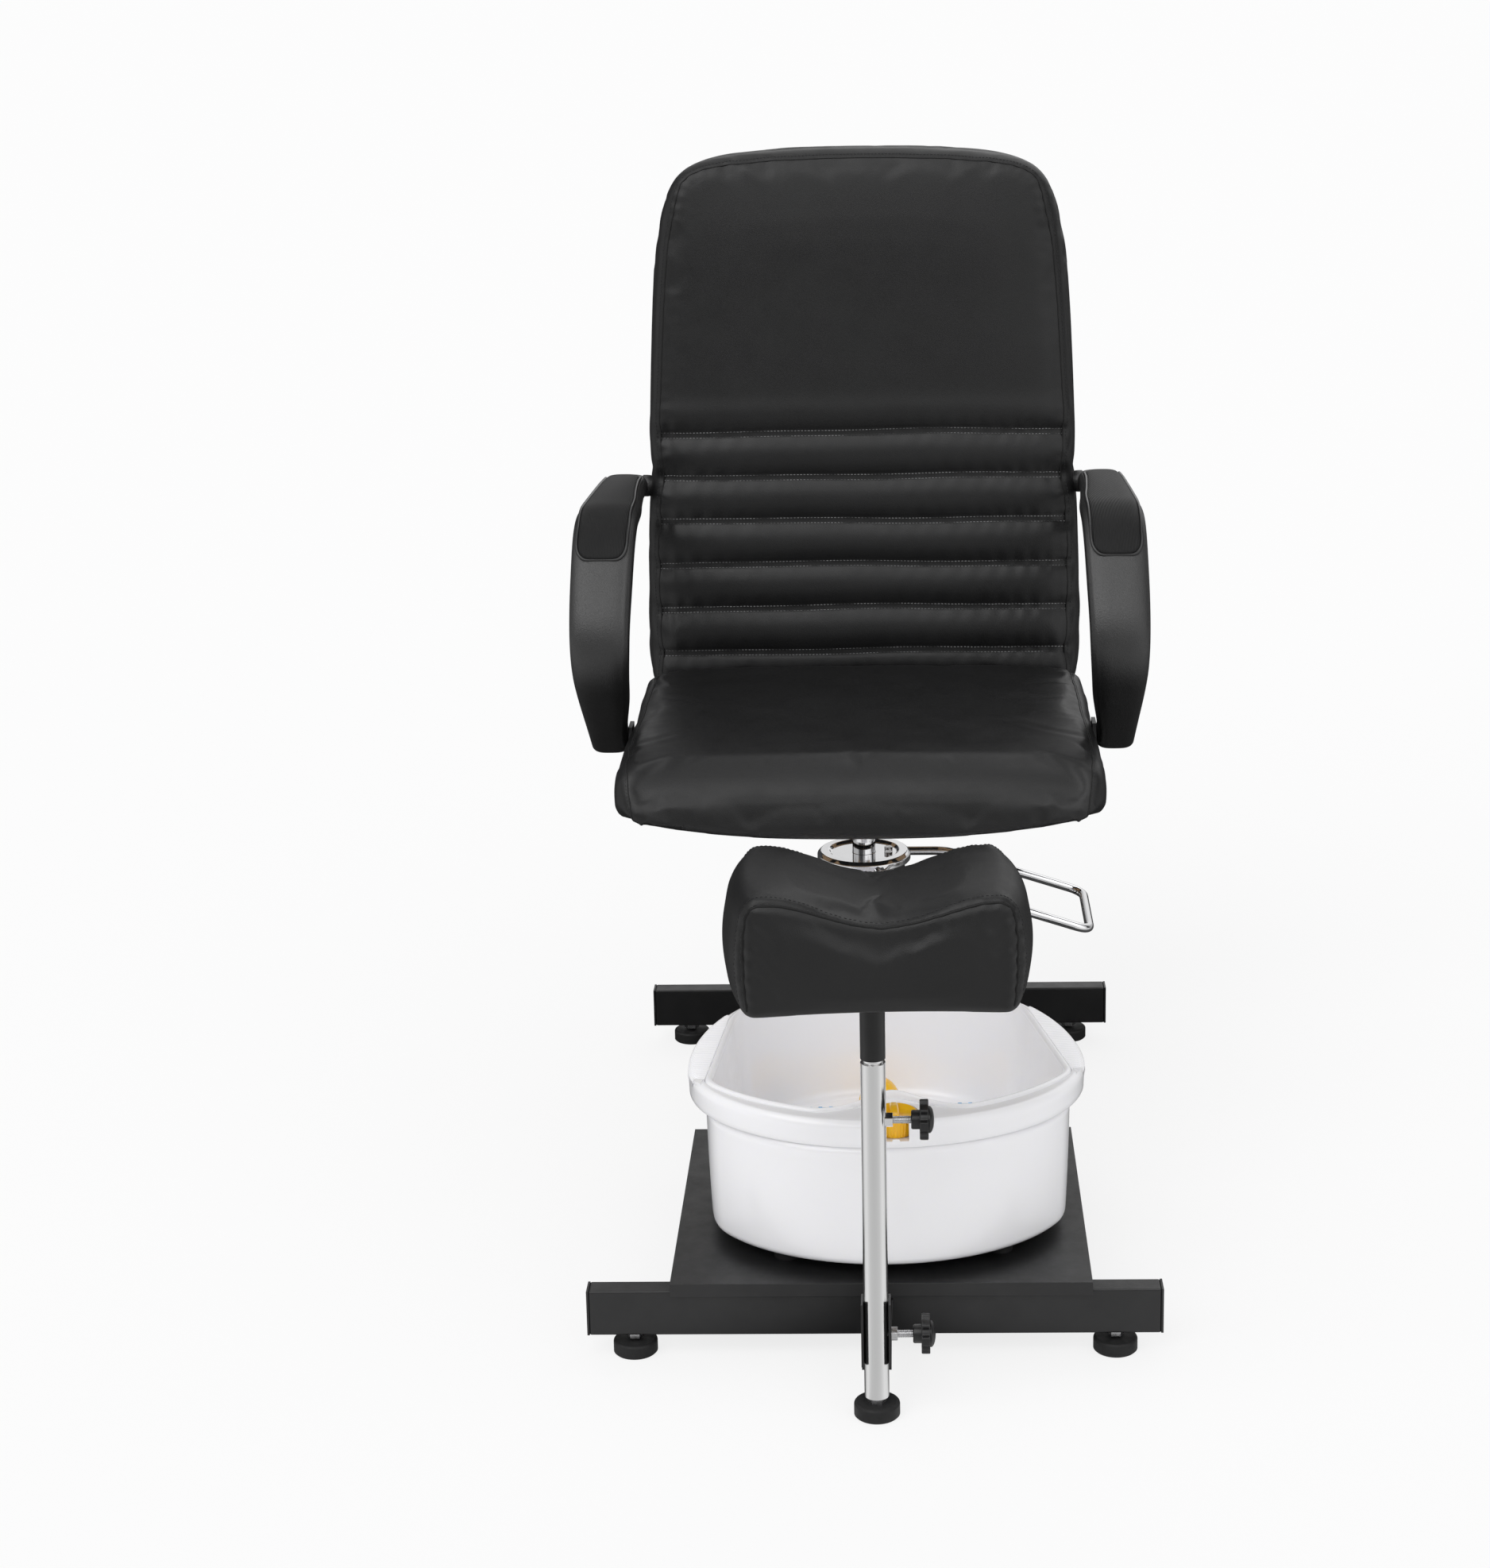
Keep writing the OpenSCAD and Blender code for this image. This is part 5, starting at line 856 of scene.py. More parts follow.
def make_footrest(m):
    half = [(0, -88), (120, -88), (129, -86), (133.5, -80)]
    half += [(134.0 + 13 * (1 - (y / 80) ** 2) ** 0.75, y) for y in np.linspace(-78, 78, 15)]
    half += [(133.5, 80), (129, 86), (120, 88), (0, 88)]
    plan, out = mirrored_outline(half, 5, 2)
    ends = np.clip(np.abs(out[:, 0]), 0, 1)
    r_top = 11 + 15 * ends
    r_low = 10 + 10 * ends

    def hump(x):
        return (1 - np.cos(math.pi * np.minimum(1, np.abs(x) / 134 / 0.82))) / 2

    def high(x, y):
        fall = 6 * np.clip((np.abs(x) - 118) / 28, 0, 1) ** 1.6
        lean = 3.6 * np.clip(-x / 110, 0, 1)
        return PAD_TOP - SADDLE * (1 - hump(x)) - fall + lean + 5 * (1 - (y / PAD_FRONT) ** 2)

    def low(x, y):
        rest = (np.abs(x) < 64) & (np.abs(y) < 44)
        drop = 4.0 * np.clip(np.abs(x) / 128, 0, 1) ** 2
        lift = 7 * np.clip((np.abs(x) - 130) / 16, 0, 1)
        return np.where(rest, 460.5, 461.5 - drop + lift)

    obj = pillow("footrest_leather", plan, out, high, low, r_top, r_low, 1.5 + 2.5 * ends,
                 pad_place, m["leather"], 4.0)
    inflate(obj, coords(obj)[:, 2] / MM < 464, 4.5, 4.0)
    subdivide(obj)
    mid = np.array([
        (-130, 466), (-131.5, 501), (-131, 542), (-129.5, 560), (-124, 571), (-115, 574.5),
        (-97, 574), (-67, 568), (-38, 560), (0, 552.5), (36, 557), (72, 566.5), (97, 572.5),
        (115, 573.5), (124.5, 570), (130, 560), (132, 536), (132, 501), (130, 466),
    ], float)
    seams = [pad_place(np.column_stack([mid[:, 0], np.full(len(mid), y), mid[:, 1]]))
            for y in (-PAD_SEAM, PAD_SEAM)]
    press(obj, seams, 2.9, 3.4, 1.2, 9)
    pucker(obj, seams, 0.5, 15, 9, 1.1)
    creases = [[(x, -PAD_FRONT, z), (x + 14, -PAD_SEAM, z - 9), (x + 21, -PAD_SEAM, z - 24)]
               for x, z in ((-118, 558), (-122, 540), (-123, 522), (-120, 504))]
    creases += [[(120, -PAD_FRONT, 558), (106, -PAD_SEAM, 547)],
                [(122, -PAD_FRONT, 532), (110, -PAD_SEAM, 524)]]
    press(obj, [pad_place(np.array(c, float)) for c in creases], 0.8, 4.5, 0.4, 9)
    fit(obj, "footrest", "footrest_pad")
    seam("footrest_seam", obj, seams, "footrest", 1.5, 0.5, m["welt"])
    middle = pad_place(np.array([(0, -PAD_FRONT, 510)], float))[0]
    inside = [shifted(seams[0], 1.4, obj, middle)]
    stitches("footrest_stitches", obj, inside, 5.6, 3.6, 0.42, m["thread"], "footrest")
    band = [pad_place(np.column_stack([mid[:, 0] * 1.035, np.full(len(mid), y), mid[:, 1] + 6]))
            for y in (-78.5, 78.5)]
    stitches("footrest_top_stitches", obj, band, 4.6, 2.8, 0.34, m["thread"], "footrest")


# Armrests
ARM_CORNERS = np.array([(930, 756), (570, 778), (465, 640), (624, 494)], float)
ARM_T = 30.0
# Shares of the armrest's length at which the pad ends and the belly starts
PAD_END_SHARE, BELLY_SHARE = 0.572, 0.56
# Arm pad: inset from the armrest's sides, length of its rounded end, height of its foot
PAD_INSET, PAD_ROUND, PAD_SEAT = 8.5, 26.0, 12.4


def rounded(a, b, c, r, steps):
    u, v = (a - b) / np.linalg.norm(a - b), (c - b) / np.linalg.norm(c - b)
    half = math.acos(float(u @ v)) / 2
    middle = b + (u + v) / np.linalg.norm(u + v) * r / math.sin(half)
    start, stop = b + u * r / math.tan(half) - middle, b + v * r / math.tan(half) - middle
    a0 = math.atan2(start[1], start[0])
    sweep = math.atan2(start[0] * stop[1] - start[1] * stop[0], float(start @ stop))
    return [middle + r * np.array([math.cos(a0 + sweep * t), math.sin(a0 + sweep * t)])
            for t in np.linspace(0, 1, steps)]


def arm_line():
    c = ARM_CORNERS
    line = [c[0]] + rounded(c[0], c[1], c[2], 75, 22) + rounded(c[1], c[2], c[3], 60, 28) + [c[3]]
    line = np.array(line)
    path = dense(np.column_stack([np.zeros(len(line)), line]), 5.0)[:, 1:]
    soften(path, 20)
    return path


def arm_widths(path):
    """Inner and outer distance from the seat's middle along the path, and the length along it."""
    run = np.r_[0, np.cumsum(np.linalg.norm(np.diff(path, axis=0), axis=1))]
    at = np.array([0, 0.025, 0.06, 0.13, 0.26, 0.36, 0.44, 0.50, 0.62, 0.72, 0.84, 0.93, 1.0]) * run[-1]
    inner = np.array([275.8, 275.7, 275.6, 275, 269.5, 264, 262, 262, 264.5, 267, 273, 281.5, 282.3])
    outer = np.array([322, 331, 334, 335.5, 336, 336, 336, 336.5, 337, 336, 333.5, 330.5, 328.5])
    low, high = np.interp(run, at, inner), np.interp(run, at, outer)
    soften(low, 10)
    soften(high, 10)
    return low, high, run


def strip_point(path, i, side, x, w):
    """A point at distance x from the middle and w off the centre line, to the outside of the loop."""
    d = path[min(len(path) - 1, i + 1)] - path[max(0, i - 1)]
    d = d / np.linalg.norm(d)
    p = path[i] + np.array([d[1], -d[0]]) * w
    return (side * x, FRONT_Y + p[0], p[1])


def power(v, p):
    """One coordinate of a superellipse with exponent p, from a sine or a cosine."""
    return math.copysign(abs(v) ** (2 / p), v)


def make_arm(m, side, name):
    path = arm_line()
    low, high, run = arm_widths(path)
    total = run[-1]
    rings = []
    n = 44
    for i in range(len(path)):
        start = min(1.0, run[i] / 15.0)
        stop = min(1.0, (total - run[i]) / 5.0)
        thick = ARM_T / 2 * math.sqrt(max(0.02, 1 - (1 - start) ** 2)) * (0.90 + 0.10 * stop)
        wide = (high[i] - low[i]) / 2
        cx = (high[i] + low[i]) / 2
        belly = 1.5 * ease((run[i] - BELLY_SHARE * total) / 120) * ease((total - run[i]) / 120)
        ring = []
        for k in range(n):
            a = 2 * math.pi * k / n
            x = wide * power(math.cos(a), 3.4)
            w = thick * power(math.sin(a), 2.6)
            if w > 0:
                w += belly * (1 - (x / wide) ** 2)
            ring.append(strip_point(path, i, side, cx + x, w))
        rings.append(ring)
    arm = skin(f"{name}_foam", rings, m["arm_foam"])
    subdivide(arm)
    # bead along the inner edge
    bead = [strip_point(path, i, side, low[i] + 2.2, 12.2) for i in range(12, len(path) - 4)]
    press(arm, [bead], 0.9, 1.8, 0.9, 4)
    fit(arm, "seat", name)
    return path, low, high, run


def pad_outline(path, low, high, run):
    """Rows of the soft pad: station, middle, half width."""
    first, last = 0.045 * run[-1], PAD_END_SHARE * run[-1]
    rows = []
    for i in range(len(path)):
        if not first <= run[i] <= last:
            continue
        half = (high[i] - low[i]) / 2 - PAD_INSET
        away = max(0.0, run[i] - (last - PAD_ROUND)) / PAD_ROUND
        half *= (1 - away**2.6) ** (1 / 2.6) if away < 1 else 0
        near = max(0.0, first + 12 - run[i]) / 12
        half *= math.sqrt(max(0.0, 1 - near**2))
        rows.append((i, (high[i] + low[i]) / 2 + 0.5, max(half, 0.5)))
    return rows


def make_arm_pad(m, side, name, path, low, high, run):
    rows = pad_outline(path, low, high, run)
    rings = []
    n = 36
    for i, cx, half in rows:
        ring = []
        for k in range(n):
            a = 2 * math.pi * k / n
            sa = math.sin(a)
            x = half * power(math.cos(a), 3.2)
            if sa >= 0:
                w = PAD_SEAT + 6.0 * abs(sa) ** (2 / 3.6) * min(1, half / 14)
            else:
                w = PAD_SEAT - 3.0 * abs(sa) ** (2 / 3.0)
            ring.append(strip_point(path, i, side, cx + x, w))
        rings.append(ring)
    pad = skin(f"{name}_pad_skin", rings, m["arm_pad_skin"])
    subdivide(pad)
    fit(pad, "seat", f"{name}_pad")
    edge = [strip_point(path, i, side, cx - half - 1.2, 14.3) for i, cx, half in rows[3:]]
    edge += [strip_point(path, i, side, cx + half + 1.2, 14.3) for i, cx, half in rows[3:][::-1]]
    edge = dense(np.array(edge), 3.0)
    soften(edge, 2)
    fit(tube(f"{name}_pad_lip", edge, 2.0, m["arm_gloss"], 12), "seat")


def make_arms(m):
    for side, name in ((-1, "left_arm"), (1, "right_arm")):
        make_arm_pad(m, side, name, *make_arm(m, side, name))
        # boss from the armrest's rear end to the backrest's side
        u = (ARM_CORNERS[1] - ARM_CORNERS[0]) / np.linalg.norm(ARM_CORNERS[1] - ARM_CORNERS[0])
        p = ARM_CORNERS[0] + u * 15
        rings = []
        for x, r in ((265, 12.5), (271, 12.5), (272.5, 13.5), (277, 14), (282, 14), (284, 12)):
            rings.append([(side * x, FRONT_Y + p[0] + r * math.cos(a), p[1] + r * math.sin(a))
                          for a in around(32)])
        fit(skin(f"{name}_boss", rings, m["arm_foam"]), "seat")


# Foot bath
RIM_A, RIM_FRONT, RIM_REAR, RIM_Z, BAND_Z = 215.0, 172.0, 263.0, 262.0, 232.0
FLOOR_Z, BATH_LOW, POCKET_Z = 125.0, 96.0, 240.0
OPEN_HALF, OPEN_CORNER, OPEN_TAPER = 191.0, 46.0, math.radians(8.5)
SHELL_HALF, DIAL_Y = 197.0, -143.0
CONSOLE_HALF, ROLLER_X, ROLLER_Y = 92, 80, 152
ANGLES = np.linspace(0, 2 * math.pi, 360, endpoint=False)


def on_bath(p):
    """Points about the bath's middle, in the shared frame."""
    return turned(np.asarray(p, float), BATH_TURN, BATH_X, BATH_Y)


def soft_min(values, r):
    """Smallest of several distances, with the corners between them rounded."""
    out = values[0]
    for v in values[1:]:
        h = np.clip(0.5 + 0.5 * (v - out) / r, 0, 1)
        out = v * (1 - h) + out * h - r * h * (1 - h)
    return out


def oval(a, inset):
    rx = RIM_A - inset
    ry = np.where(np.sin(a) < 0, RIM_FRONT, RIM_REAR) - inset
    return 1 / np.sqrt((np.cos(a) / rx) ** 2 + (np.sin(a) / ry) ** 2)


def wedge(a, half, taper):
    d = np.abs(np.cos(a)) + np.sin(a) * math.tan(taper)
    return np.where(d > 0.05, (half - OPEN_CORNER * math.tan(taper)) / np.maximum(d, 0.05), 900)


OPEN_FRONT = RIM_FRONT - 30.0
ARC_R = (OPEN_HALF**2 + (OPEN_FRONT - OPEN_CORNER) ** 2) / (2 * (OPEN_FRONT - OPEN_CORNER))


def front_arc(a, inset):
    c, r = ARC_R - OPEN_FRONT, ARC_R - inset
    return c * np.sin(a) + np.sqrt(np.maximum(r * r - (c * np.cos(a)) ** 2, 1))


def console_share(a):
    """1 in the middle of the console that bulges into the opening, 0 beside it."""
    x = OPEN_FRONT * np.cos(a) / np.minimum(np.sin(a), -1e-3)
    inside = (np.sin(a) < 0) & (np.abs(x) < CONSOLE_HALF)
    return np.where(inside, (1 + np.cos(math.pi * x / CONSOLE_HALF)) / 2, 0)


def opening(a, inset):
    arc = front_arc(a, inset) - 46 * console_share(a)
    return soft_min([oval(a, 14 + inset), wedge(a, OPEN_HALF - inset, OPEN_TAPER), arc], 9)


def shell(a, inset):
    flush = 7 - 4.2 * np.clip(-np.sin(a), 0, 1) ** 2
    return soft_min([oval(a, flush + inset), wedge(a, SHELL_HALF - inset, 0)], 14)


def bath_ring(r, z):
    z = np.broadcast_to(z, ANGLES.shape)
    return on_bath(np.column_stack([r * np.cos(ANGLES), r * np.sin(ANGLES), z]))


def make_bath(m):
    a = ANGLES
    hump = console_share(a) ** 2.2
    # shell, from the middle of its floor outwards and up
    rows = [bath_ring(shell(a, 14) * k, BATH_LOW) for k in (0.05, 0.35, 0.7, 0.9)]
    for t in np.radians(np.linspace(0, 90, 6)):
        rows.append(bath_ring(shell(a, 4 + 9 * (1 - math.sin(t))), BATH_LOW + 9 * (1 - math.cos(t))))
    for t in np.linspace(0, 1, 12)[1:]:
        rows.append(bath_ring(shell(a, 4 * (1 - t) - 0.6 * math.sin(math.pi * t)), 105 + 126.6 * t))
    for inset, z in ((2.2, 231.6), (2.4, 215), (4.5, 150), (5.5, 108), (10, 101)):
        rows.append(bath_ring(shell(a, inset), z))
    rows += [bath_ring(shell(a, 14) * k, BATH_LOW + 3) for k in (0.9, 0.6, 0.3, 0.05)]
    fit(skin("bath_tub", rows, m["white_plastic"]), "bath", "bath_shell")

    # basin, from the middle of its floor up the wall, over the rim and back under
    rows = [bath_ring(opening(a, 26) * k, FLOOR_Z) for k in (0.05, 0.3, 0.55, 0.8, 1.0)]
    for t in np.radians(np.linspace(0, 84, 7)):
        rows.append(bath_ring(opening(a, 26 - 14 * math.sin(t)), FLOOR_Z + 14 * (1 - math.cos(t))))
    for t in np.linspace(0.04, 1, 14):
        rows.append(bath_ring(opening(a, 12 - 11 * t), FLOOR_Z + 14 + t * (RIM_Z - 6 - FLOOR_Z - 14)))
    roll = 4.2
    for t in np.radians(np.linspace(-10, 190, 13)):
        lift = 4.5 * hump * (0.5 + 0.5 * math.sin(t))
        rows.append(bath_ring(
            opening(a, -roll + roll * math.cos(t) + 0.8), RIM_Z - 3.2 + roll * math.sin(t) + lift))
    dip = RIM_Z - 1.6
    gap = oval(a, 0) - (opening(a, 0) + 2 * roll)
    for t in (0.06, 0.2, 0.4, 0.6, 0.8, 1.0):
        rows.append(bath_ring(opening(a, 0) + 2 * roll + (gap - 7) * t, dip + 0.6 * t))
    for t in np.radians(np.linspace(80, 0, 8)):
        rows.append(bath_ring(oval(a, 7 - 7 * math.cos(t)), dip + 0.6 - 9 + 9 * math.sin(t)))
    for t in np.linspace(0, 1, 5)[1:]:
        rows.append(bath_ring(oval(a, 0.8 * t), dip - 8.4 + t * (BAND_Z + 2 - dip + 8.4)))
    rows.append(bath_ring(oval(a, 1.6), BAND_Z + 0.4))
    rows.append(bath_ring(oval(a, 3.0), BAND_Z))
    rows.append(bath_ring(np.maximum(shell(a, 3.0), opening(a, -3.5)), BAND_Z))
    rows.append(bath_ring(opening(a, -2.6), BAND_Z - 2))
    for t in np.linspace(0, 1, 6)[1:]:
        rows.append(bath_ring(opening(a, -2.6 + 12.6 * t), BAND_Z - 2 - 106 * t))
    rows += [bath_ring(opening(a, 26) * k, FLOOR_Z - 2.5) for k in (0.9, 0.6, 0.3, 0.05)]
    basin = skin("bath_bowl", rows, m["white_plastic"])
    cut_pocket(basin)
    fit(basin, "bath", "bath_basin")
    make_grips(m)
    make_massage_plate(m)
    make_controls(m)


def cut_pocket(basin):
    """Cuts the dial's round pocket and its notch to the front."""
    r, half, front = 25.5, 13.5, -176
    reach = math.asin(half / r)
    plan = [(half, front), (half, DIAL_Y - r * math.cos(reach))]
    for t in np.linspace(-math.pi / 2 + reach, 1.5 * math.pi - reach, 49)[1:-1]:
        plan.append((r * math.cos(t), DIAL_Y + r * math.sin(t)))
    plan += [(-half, DIAL_Y - r * math.cos(reach)), (-half, front)]
    n = len(plan)
    verts = np.vstack([np.column_stack([plan, np.full(n, z)]) for z in (POCKET_Z, RIM_Z + 12)])
    faces = ring_quads(2, n) + [tuple(reversed(range(n))), tuple(range(n, 2 * n))]
    cutter = make_object("cutter", on_bath(verts), faces, basin.data.materials[0])
    face_out(cutter)
    cut = basin.modifiers.new("pocket", "BOOLEAN")
    cut.operation = "DIFFERENCE"
    cut.solver = "EXACT"
    cut.object = cutter
    baked(basin)
    bpy.data.objects.remove(cutter, do_unlink=True)
    basin.data.set_sharp_from_angle(angle=math.radians(42))


def make_grips(m):
    """Crescents of fine ribs on both sides of the rim, with a straight front edge."""
    verts, faces = [], []
    shape = [(-1.5, -0.6), (-1.2, 0.5), (-0.5, 1.15), (0.5, 1.15), (1.2, 0.5), (1.5, -0.6)]
    n = len(shape)
    top = RIM_Z - 1.2
    slope = math.tan(OPEN_TAPER)
    for side in (-1, 1):
        for y in np.arange(-36, 176, 3.6):
            reach = RIM_REAR if y > 0 else RIM_FRONT
            outer = RIM_A * math.sqrt(max(0.0, 1 - (y / reach) ** 2))
            inner = (OPEN_HALF - OPEN_CORNER * slope) - y * slope + 7.6
            if outer - inner < 7:
                continue
            run = [(inner, top - 0.6), (inner + 1.5, top), (outer - 6, top + 0.2),
                   (outer - 2.2, top - 1.4), (outer + 0.2, top - 4.6), (outer + 0.7, top - 9.5)]
            start = len(verts)
            verts += [(side * x, y + dy, z + dz) for x, z in run for dy, dz in shape]
            faces += ring_quads(len(run), n, start)
            last = start + (len(run) - 1) * n
            faces += [tuple(start + k for k in range(n)), tuple(last + k for k in range(n))]
        # straight step that ends the crescent towards the front
        start = len(verts)
        edge = [(198.5, -38.4), (209.4, -38.4), (208.6, -43.5), (202, -52)]
        verts += [(side * x, y, z) for z in (top - 3, top + 1.0) for x, y in edge]
        faces += ring_quads(2, 4, start)
        faces += [tuple(start + k for k in range(4)), tuple(start + 4 + k for k in range(4))]
    grips = make_object("bath_grips", on_bath(verts), faces, m["white_plastic"])
    face_out(grips)
    grips.data.set_sharp_from_angle(angle=math.radians(50))
    fit(grips, "bath")


def revolve(name, profile, place, mat, sides=72, ripple=None):
    """Turned form from (radius, height) points; ripple(angles, index) changes the radius."""
    ts = around(sides)
    rings = []
    for i, (r, z) in enumerate(profile):
        rings.append(place(circle(r if ripple is None else r + ripple(ts, i), z, ts)))
    return skin(name, rings, mat, 40)


def make_massage_plate(m):
    """Plate with two fields of small nubs, and the rollers' bearings."""
    a = ANGLES[::3]
    edge = opening(a, 26)
    rows = [on_bath(circle(edge * k, z, a))
            for k, z in ((0.06, 127), (0.5, 127), (0.97, 127), (1.0, 126.6), (1.0, 125.1), (0.06, 125.1))]
    verts, faces = loft(rows)
    nub = [(3.6, 126.4), (3.4, 128.2), (2.6, 129.9), (1.3, 130.8)]
    spots = [(sx * ROLLER_X + i * 11 + (5.5 if j % 2 else 0) - 2.7, j * 10.5 + 8)
             for sx in (-1, 1) for i in range(-3, 4) for j in range(-9, 12)
             if (i / 3.6) ** 2 + ((j - 1) / 10.6) ** 2 < 1]
    for x, y in spots:
        start = len(verts)
        for r, z in nub:
            verts += list(on_bath(circle(r, z, around(10)) + (x, y, 0)))
        faces += ring_quads(4, 10, start)
        faces.append(tuple(start + 30 + k for k in range(10)))
    arc = [(-8.5, 126.2), (-8.5, 131)]
    arc += [(8.5 * math.cos(t), 134 + 6.8 * math.sin(t)) for t in np.linspace(math.pi, 0, 13)]
    arc += [(8.5, 131), (8.5, 126.2)]
    n = len(arc)
    for x0 in (side * ROLLER_X + end * 33.2 for side in (-1, 1) for end in (-1, 1)):
        start = len(verts)
        for x in (x0 - 3, x0 + 3):
            verts += list(on_bath(np.array([(x, ROLLER_Y + dy, z) for dy, z in arc])))
        faces += ring_quads(2, n, start)
        faces += [tuple(start + k for k in range(n)), tuple(start + n + k for k in range(n))]
    plate = make_object("bath_floor_plate", verts, faces, m["white_plastic"])
    face_out(plate)
    plate.data.set_sharp_from_angle(angle=math.radians(45))
    fit(plate, "bath", "massage_plate")


def make_controls(m):
    """Warming dome, and the dial with its bar and pointer."""
    orange = "orange_plastic"
    y = RIM_REAR - 14 - 36 - 27
    profile = [(0.5, 127), (26, 127), (26.6, 128.2), (26, 129.6), (24.9, 130.4)]
    profile += [(25 * math.cos(t), 130 + 35 * math.sin(t)) for t in np.radians(np.linspace(4, 88, 22))]
    dome = revolve("bath_dome", profile, lambda p: on_bath(p + (2.0, y, 0)), m[orange])
    fit(dome, "bath", "warming_dome")

    # dial with grip flutes, a rounded top and a bar across it
    z0 = POCKET_Z + 0.3
    profile = [(0.5, z0), (20.8, z0), (22, z0 + 1.2), (22.4, z0 + 5), (23.4, z0 + 16), (23.9, z0 + 19),
               (23.6, z0 + 20.6), (22.4, z0 + 21.8), (20.5, z0 + 22), (18.5, z0 + 21.3), (0.5, z0 + 21)]

    def flutes(t, i):
        return 0.35 * np.cos(40 * t) if 2 <= i <= 6 else 0.0 * t

    dial = revolve("bath_dial", profile, lambda p: on_bath(p + (0, DIAL_Y, 0)), m[orange], 240, flutes)
    fit(dial, "dial", "control_dial")
    rows = []
    for y, half, high in ((-19, 1.5, 21.4), (-18, 3.4, 24.2), (-14, 4.2, 25.6), (0, 4.5, 26),
                          (14, 4.2, 25.6), (18, 3.4, 24.2), (19, 1.5, 21.4)):
        arc = [(-half, 20.4), (-half, high - 1.4), (-half * 0.6, high), (half * 0.6, high),
               (half, high - 1.4), (half, 20.4)]
        rows.append(on_bath(np.array([(x, DIAL_Y + y, z0 + z) for x, z in arc])))
    bar = skin("bath_dial_bar", rows, m[orange])
    bevel = bar.modifiers.new("bevel", "BEVEL")
    bevel.width = 0.0008
    bevel.segments = 3
    bevel.angle_limit = math.radians(30)
    fit(bar, "dial")
    # small pointer in the notch before the dial
    tri = [(-4.2, -171.4), (4.2, -171.4), (0, -168.2)]
    rows = [on_bath(np.array([(x, y, z) for x, y in tri])) for z in (POCKET_Z - 1, POCKET_Z + 0.4)]
    rows.append(on_bath(np.array([(x * 0.8, y + 0.2, POCKET_Z + 2.0) for x, y in tri])))
    mark = skin("bath_pointer", rows, m["white_plastic"], smooth=False)
    fit(mark, "bath")


# Pedal and clamps
def make_pedal(m):
    half, shaft, lean, bend = 73.0, 332.0, math.radians(18), 16
    u = np.array([math.cos(lean), 0, -math.sin(lean)])
    knee = np.array([272.5 - 180 * math.cos(lean), half, shaft])
    line = [np.array([40.0, half, shaft]), np.array([60.0, half, shaft])]
    for t in np.linspace(-1, 1, 9):
        along = np.array([1.0, 0, 0]) * t * 14 if t < 0 else u * t * 14
        line.append(knee + along + np.array([0, 0, -1.1]) * (1 - abs(t)) ** 2)
    for a in np.radians(np.linspace(0, 90, 13)):
        p = knee + u * (164 + bend * math.sin(a))
        p[1] = half - bend * (1 - math.cos(a))
        line.append(p)
    line += [p * (1, -1, 1) for p in line[::-1]]
    path = dense(np.array(line), 3.0)
    soften(path, 3)
    loop = tube("pedal_wire", path + (0, PUMP_Y, 0), 5.5, m["chrome"], 28)
    face_out(loop)
    fit(loop, "pedal", "pedal_loop")


def along_x(z):
    """Puts a turned form's axis along X, away from the post, at a height."""
    return lambda p: np.column_stack([POST_X + p[:, 2], POST_Y + p[:, 0], z + p[:, 1]])


def make_knob(m, name, z, body):
    place = along_x(z)
    hub = [(0.5, 37), (8.4, 37), (9.3, 37.8), (9.5, 39), (9.5, 46)]
    cap = [(13.2, 54), (13.4, 55.2), (12.6, 56.6), (10.6, 57.9), (7.6, 58.9), (4, 59.5), (0.5, 59.7)]
    ts = around(216)
    star = 14.6 + 5.4 / (1 + np.exp(-9 * (np.cos(6 * ts) + 0.12)))
    lobes = [(star + k, x) for k, x in ((-0.9, 45.4), (-0.15, 46.1), (0.0, 47), (0.0, 53), (-0.15, 53.7),
                                        (-0.9, 54.1))]
    rings = [place(circle(r, x, ts)) for r, x in hub + lobes + cap]
    knob = skin(f"{name}_star", rings, m["black_plastic"], 38)
    fit(knob, body, name)


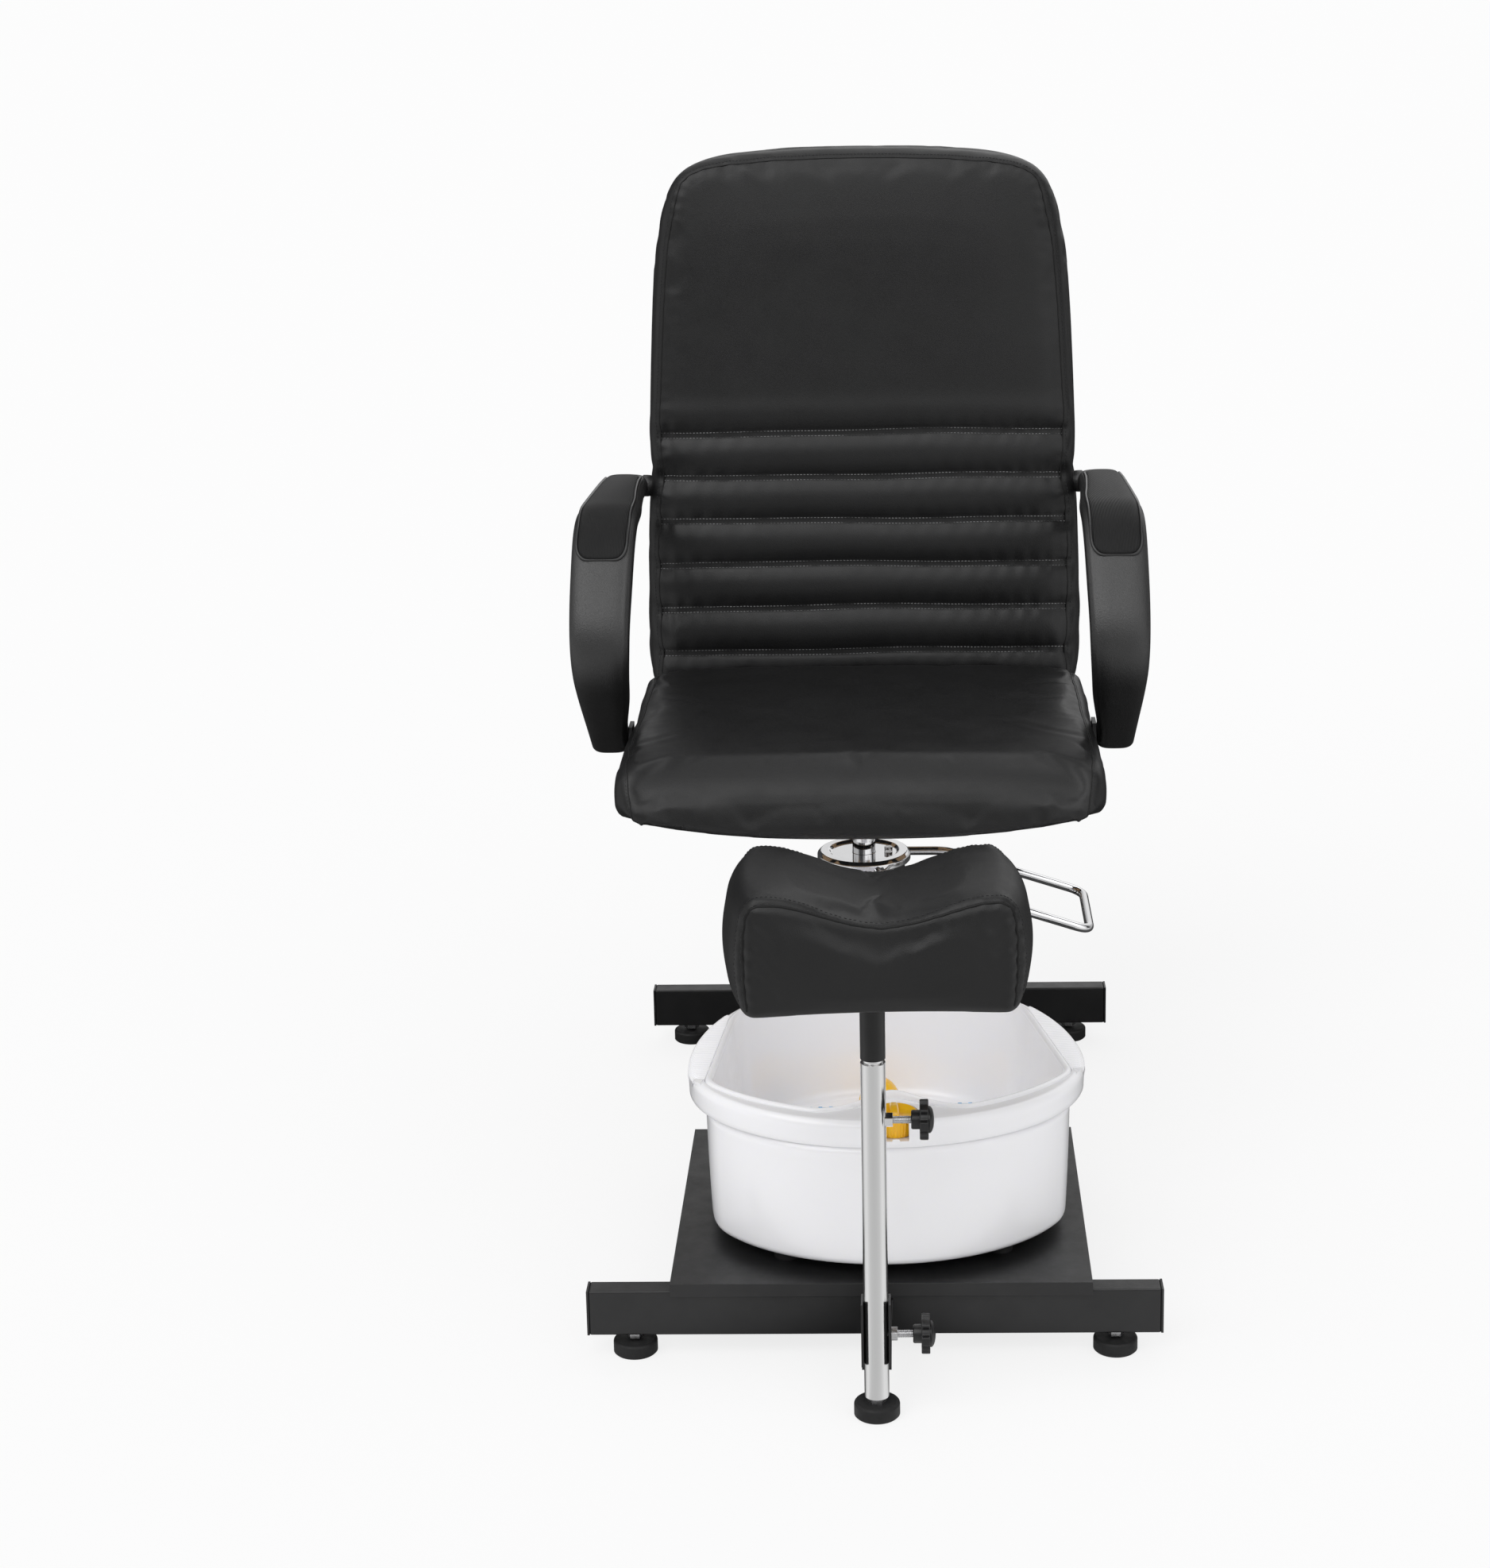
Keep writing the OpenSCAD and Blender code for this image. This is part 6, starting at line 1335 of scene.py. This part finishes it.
def make_screw(m, node, z, body):
    low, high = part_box(node)
    x0, x1 = low[0] / MM - POST_X, high[0] / MM - POST_X
    place = along_x(z)
    rows, pitch = [], 1.25
    ts = around(24)
    for x in np.arange(x0, x1, pitch / 5):
        turn = (x / pitch + ts / (2 * math.pi)) % 1.0
        r = 3.95 - 0.62 * np.abs(2 * turn - 1) ** 0.8
        if x < x0 + 1.2:
            r = r * (0.72 + 0.28 * (x - x0) / 1.2)
        rows.append(place(circle(r, x, ts)))
    fit(skin(f"{node}_thread", rows, m["fastener_steel"]), body, node)


# Solids kept from the frame: those with a look of their own, and edge widths in millimetres
SPECIAL = {"outer_post": "satin_tube", "inner_post": "satin_tube", "footrest_socket": "sleeve"}
EDGES = {"front_rail": 2.2, "rear_rail": 2.2, "beams": 1.6, "tray": 0.5, "pump_plate": 0.8,
         "bath_feet": 1.2, "pump_cap": 0.8, "post_foot": 1.6, "back_board": 1.6}


def dress_nodes(m):
    slots = {p["node"]: p["material_slot"] for p in frame["record"]["subparts"]}
    for name, obj in NODES.items():
        slot = SPECIAL.get(name, slots[name])
        mat = m["leather" if slots[name] == "black_leather" else slot]
        if obj.material_slots:
            for s in obj.material_slots:
                s.material = mat
        else:
            obj.data.materials.append(mat)
        weld = obj.modifiers.new("weld", "WELD")
        weld.merge_threshold = 0.00001
        bevel = obj.modifiers.new("bevel", "BEVEL")
        bevel.width = EDGES.get(name, 0.4) * MM
        bevel.segments = 3
        bevel.limit_method = "ANGLE"
        bevel.angle_limit = math.radians(38)
        bevel.harden_normals = False
        even = obj.modifiers.new("normals", "WEIGHTED_NORMAL")
        even.keep_sharp = True


def main():
    make_camera()
    make_light()
    make_floor()
    m = make_materials()
    dress_nodes(m)
    make_seat(m)
    make_back(m)
    make_footrest(m)
    make_arms(m)
    make_bath(m)
    make_pedal(m)
    for clamp, z in (("upper", UPPER_CLAMP_Z), ("lower", LOWER_CLAMP_Z)):
        make_knob(m, f"{clamp}_clamp_knob", z, f"{clamp}_knob")
    for clamp, z in (("upper", UPPER_CLAMP_Z), ("lower", LOWER_CLAMP_Z)):
        make_screw(m, f"{clamp}_clamp_screw", z, f"{clamp}_screw")


main()
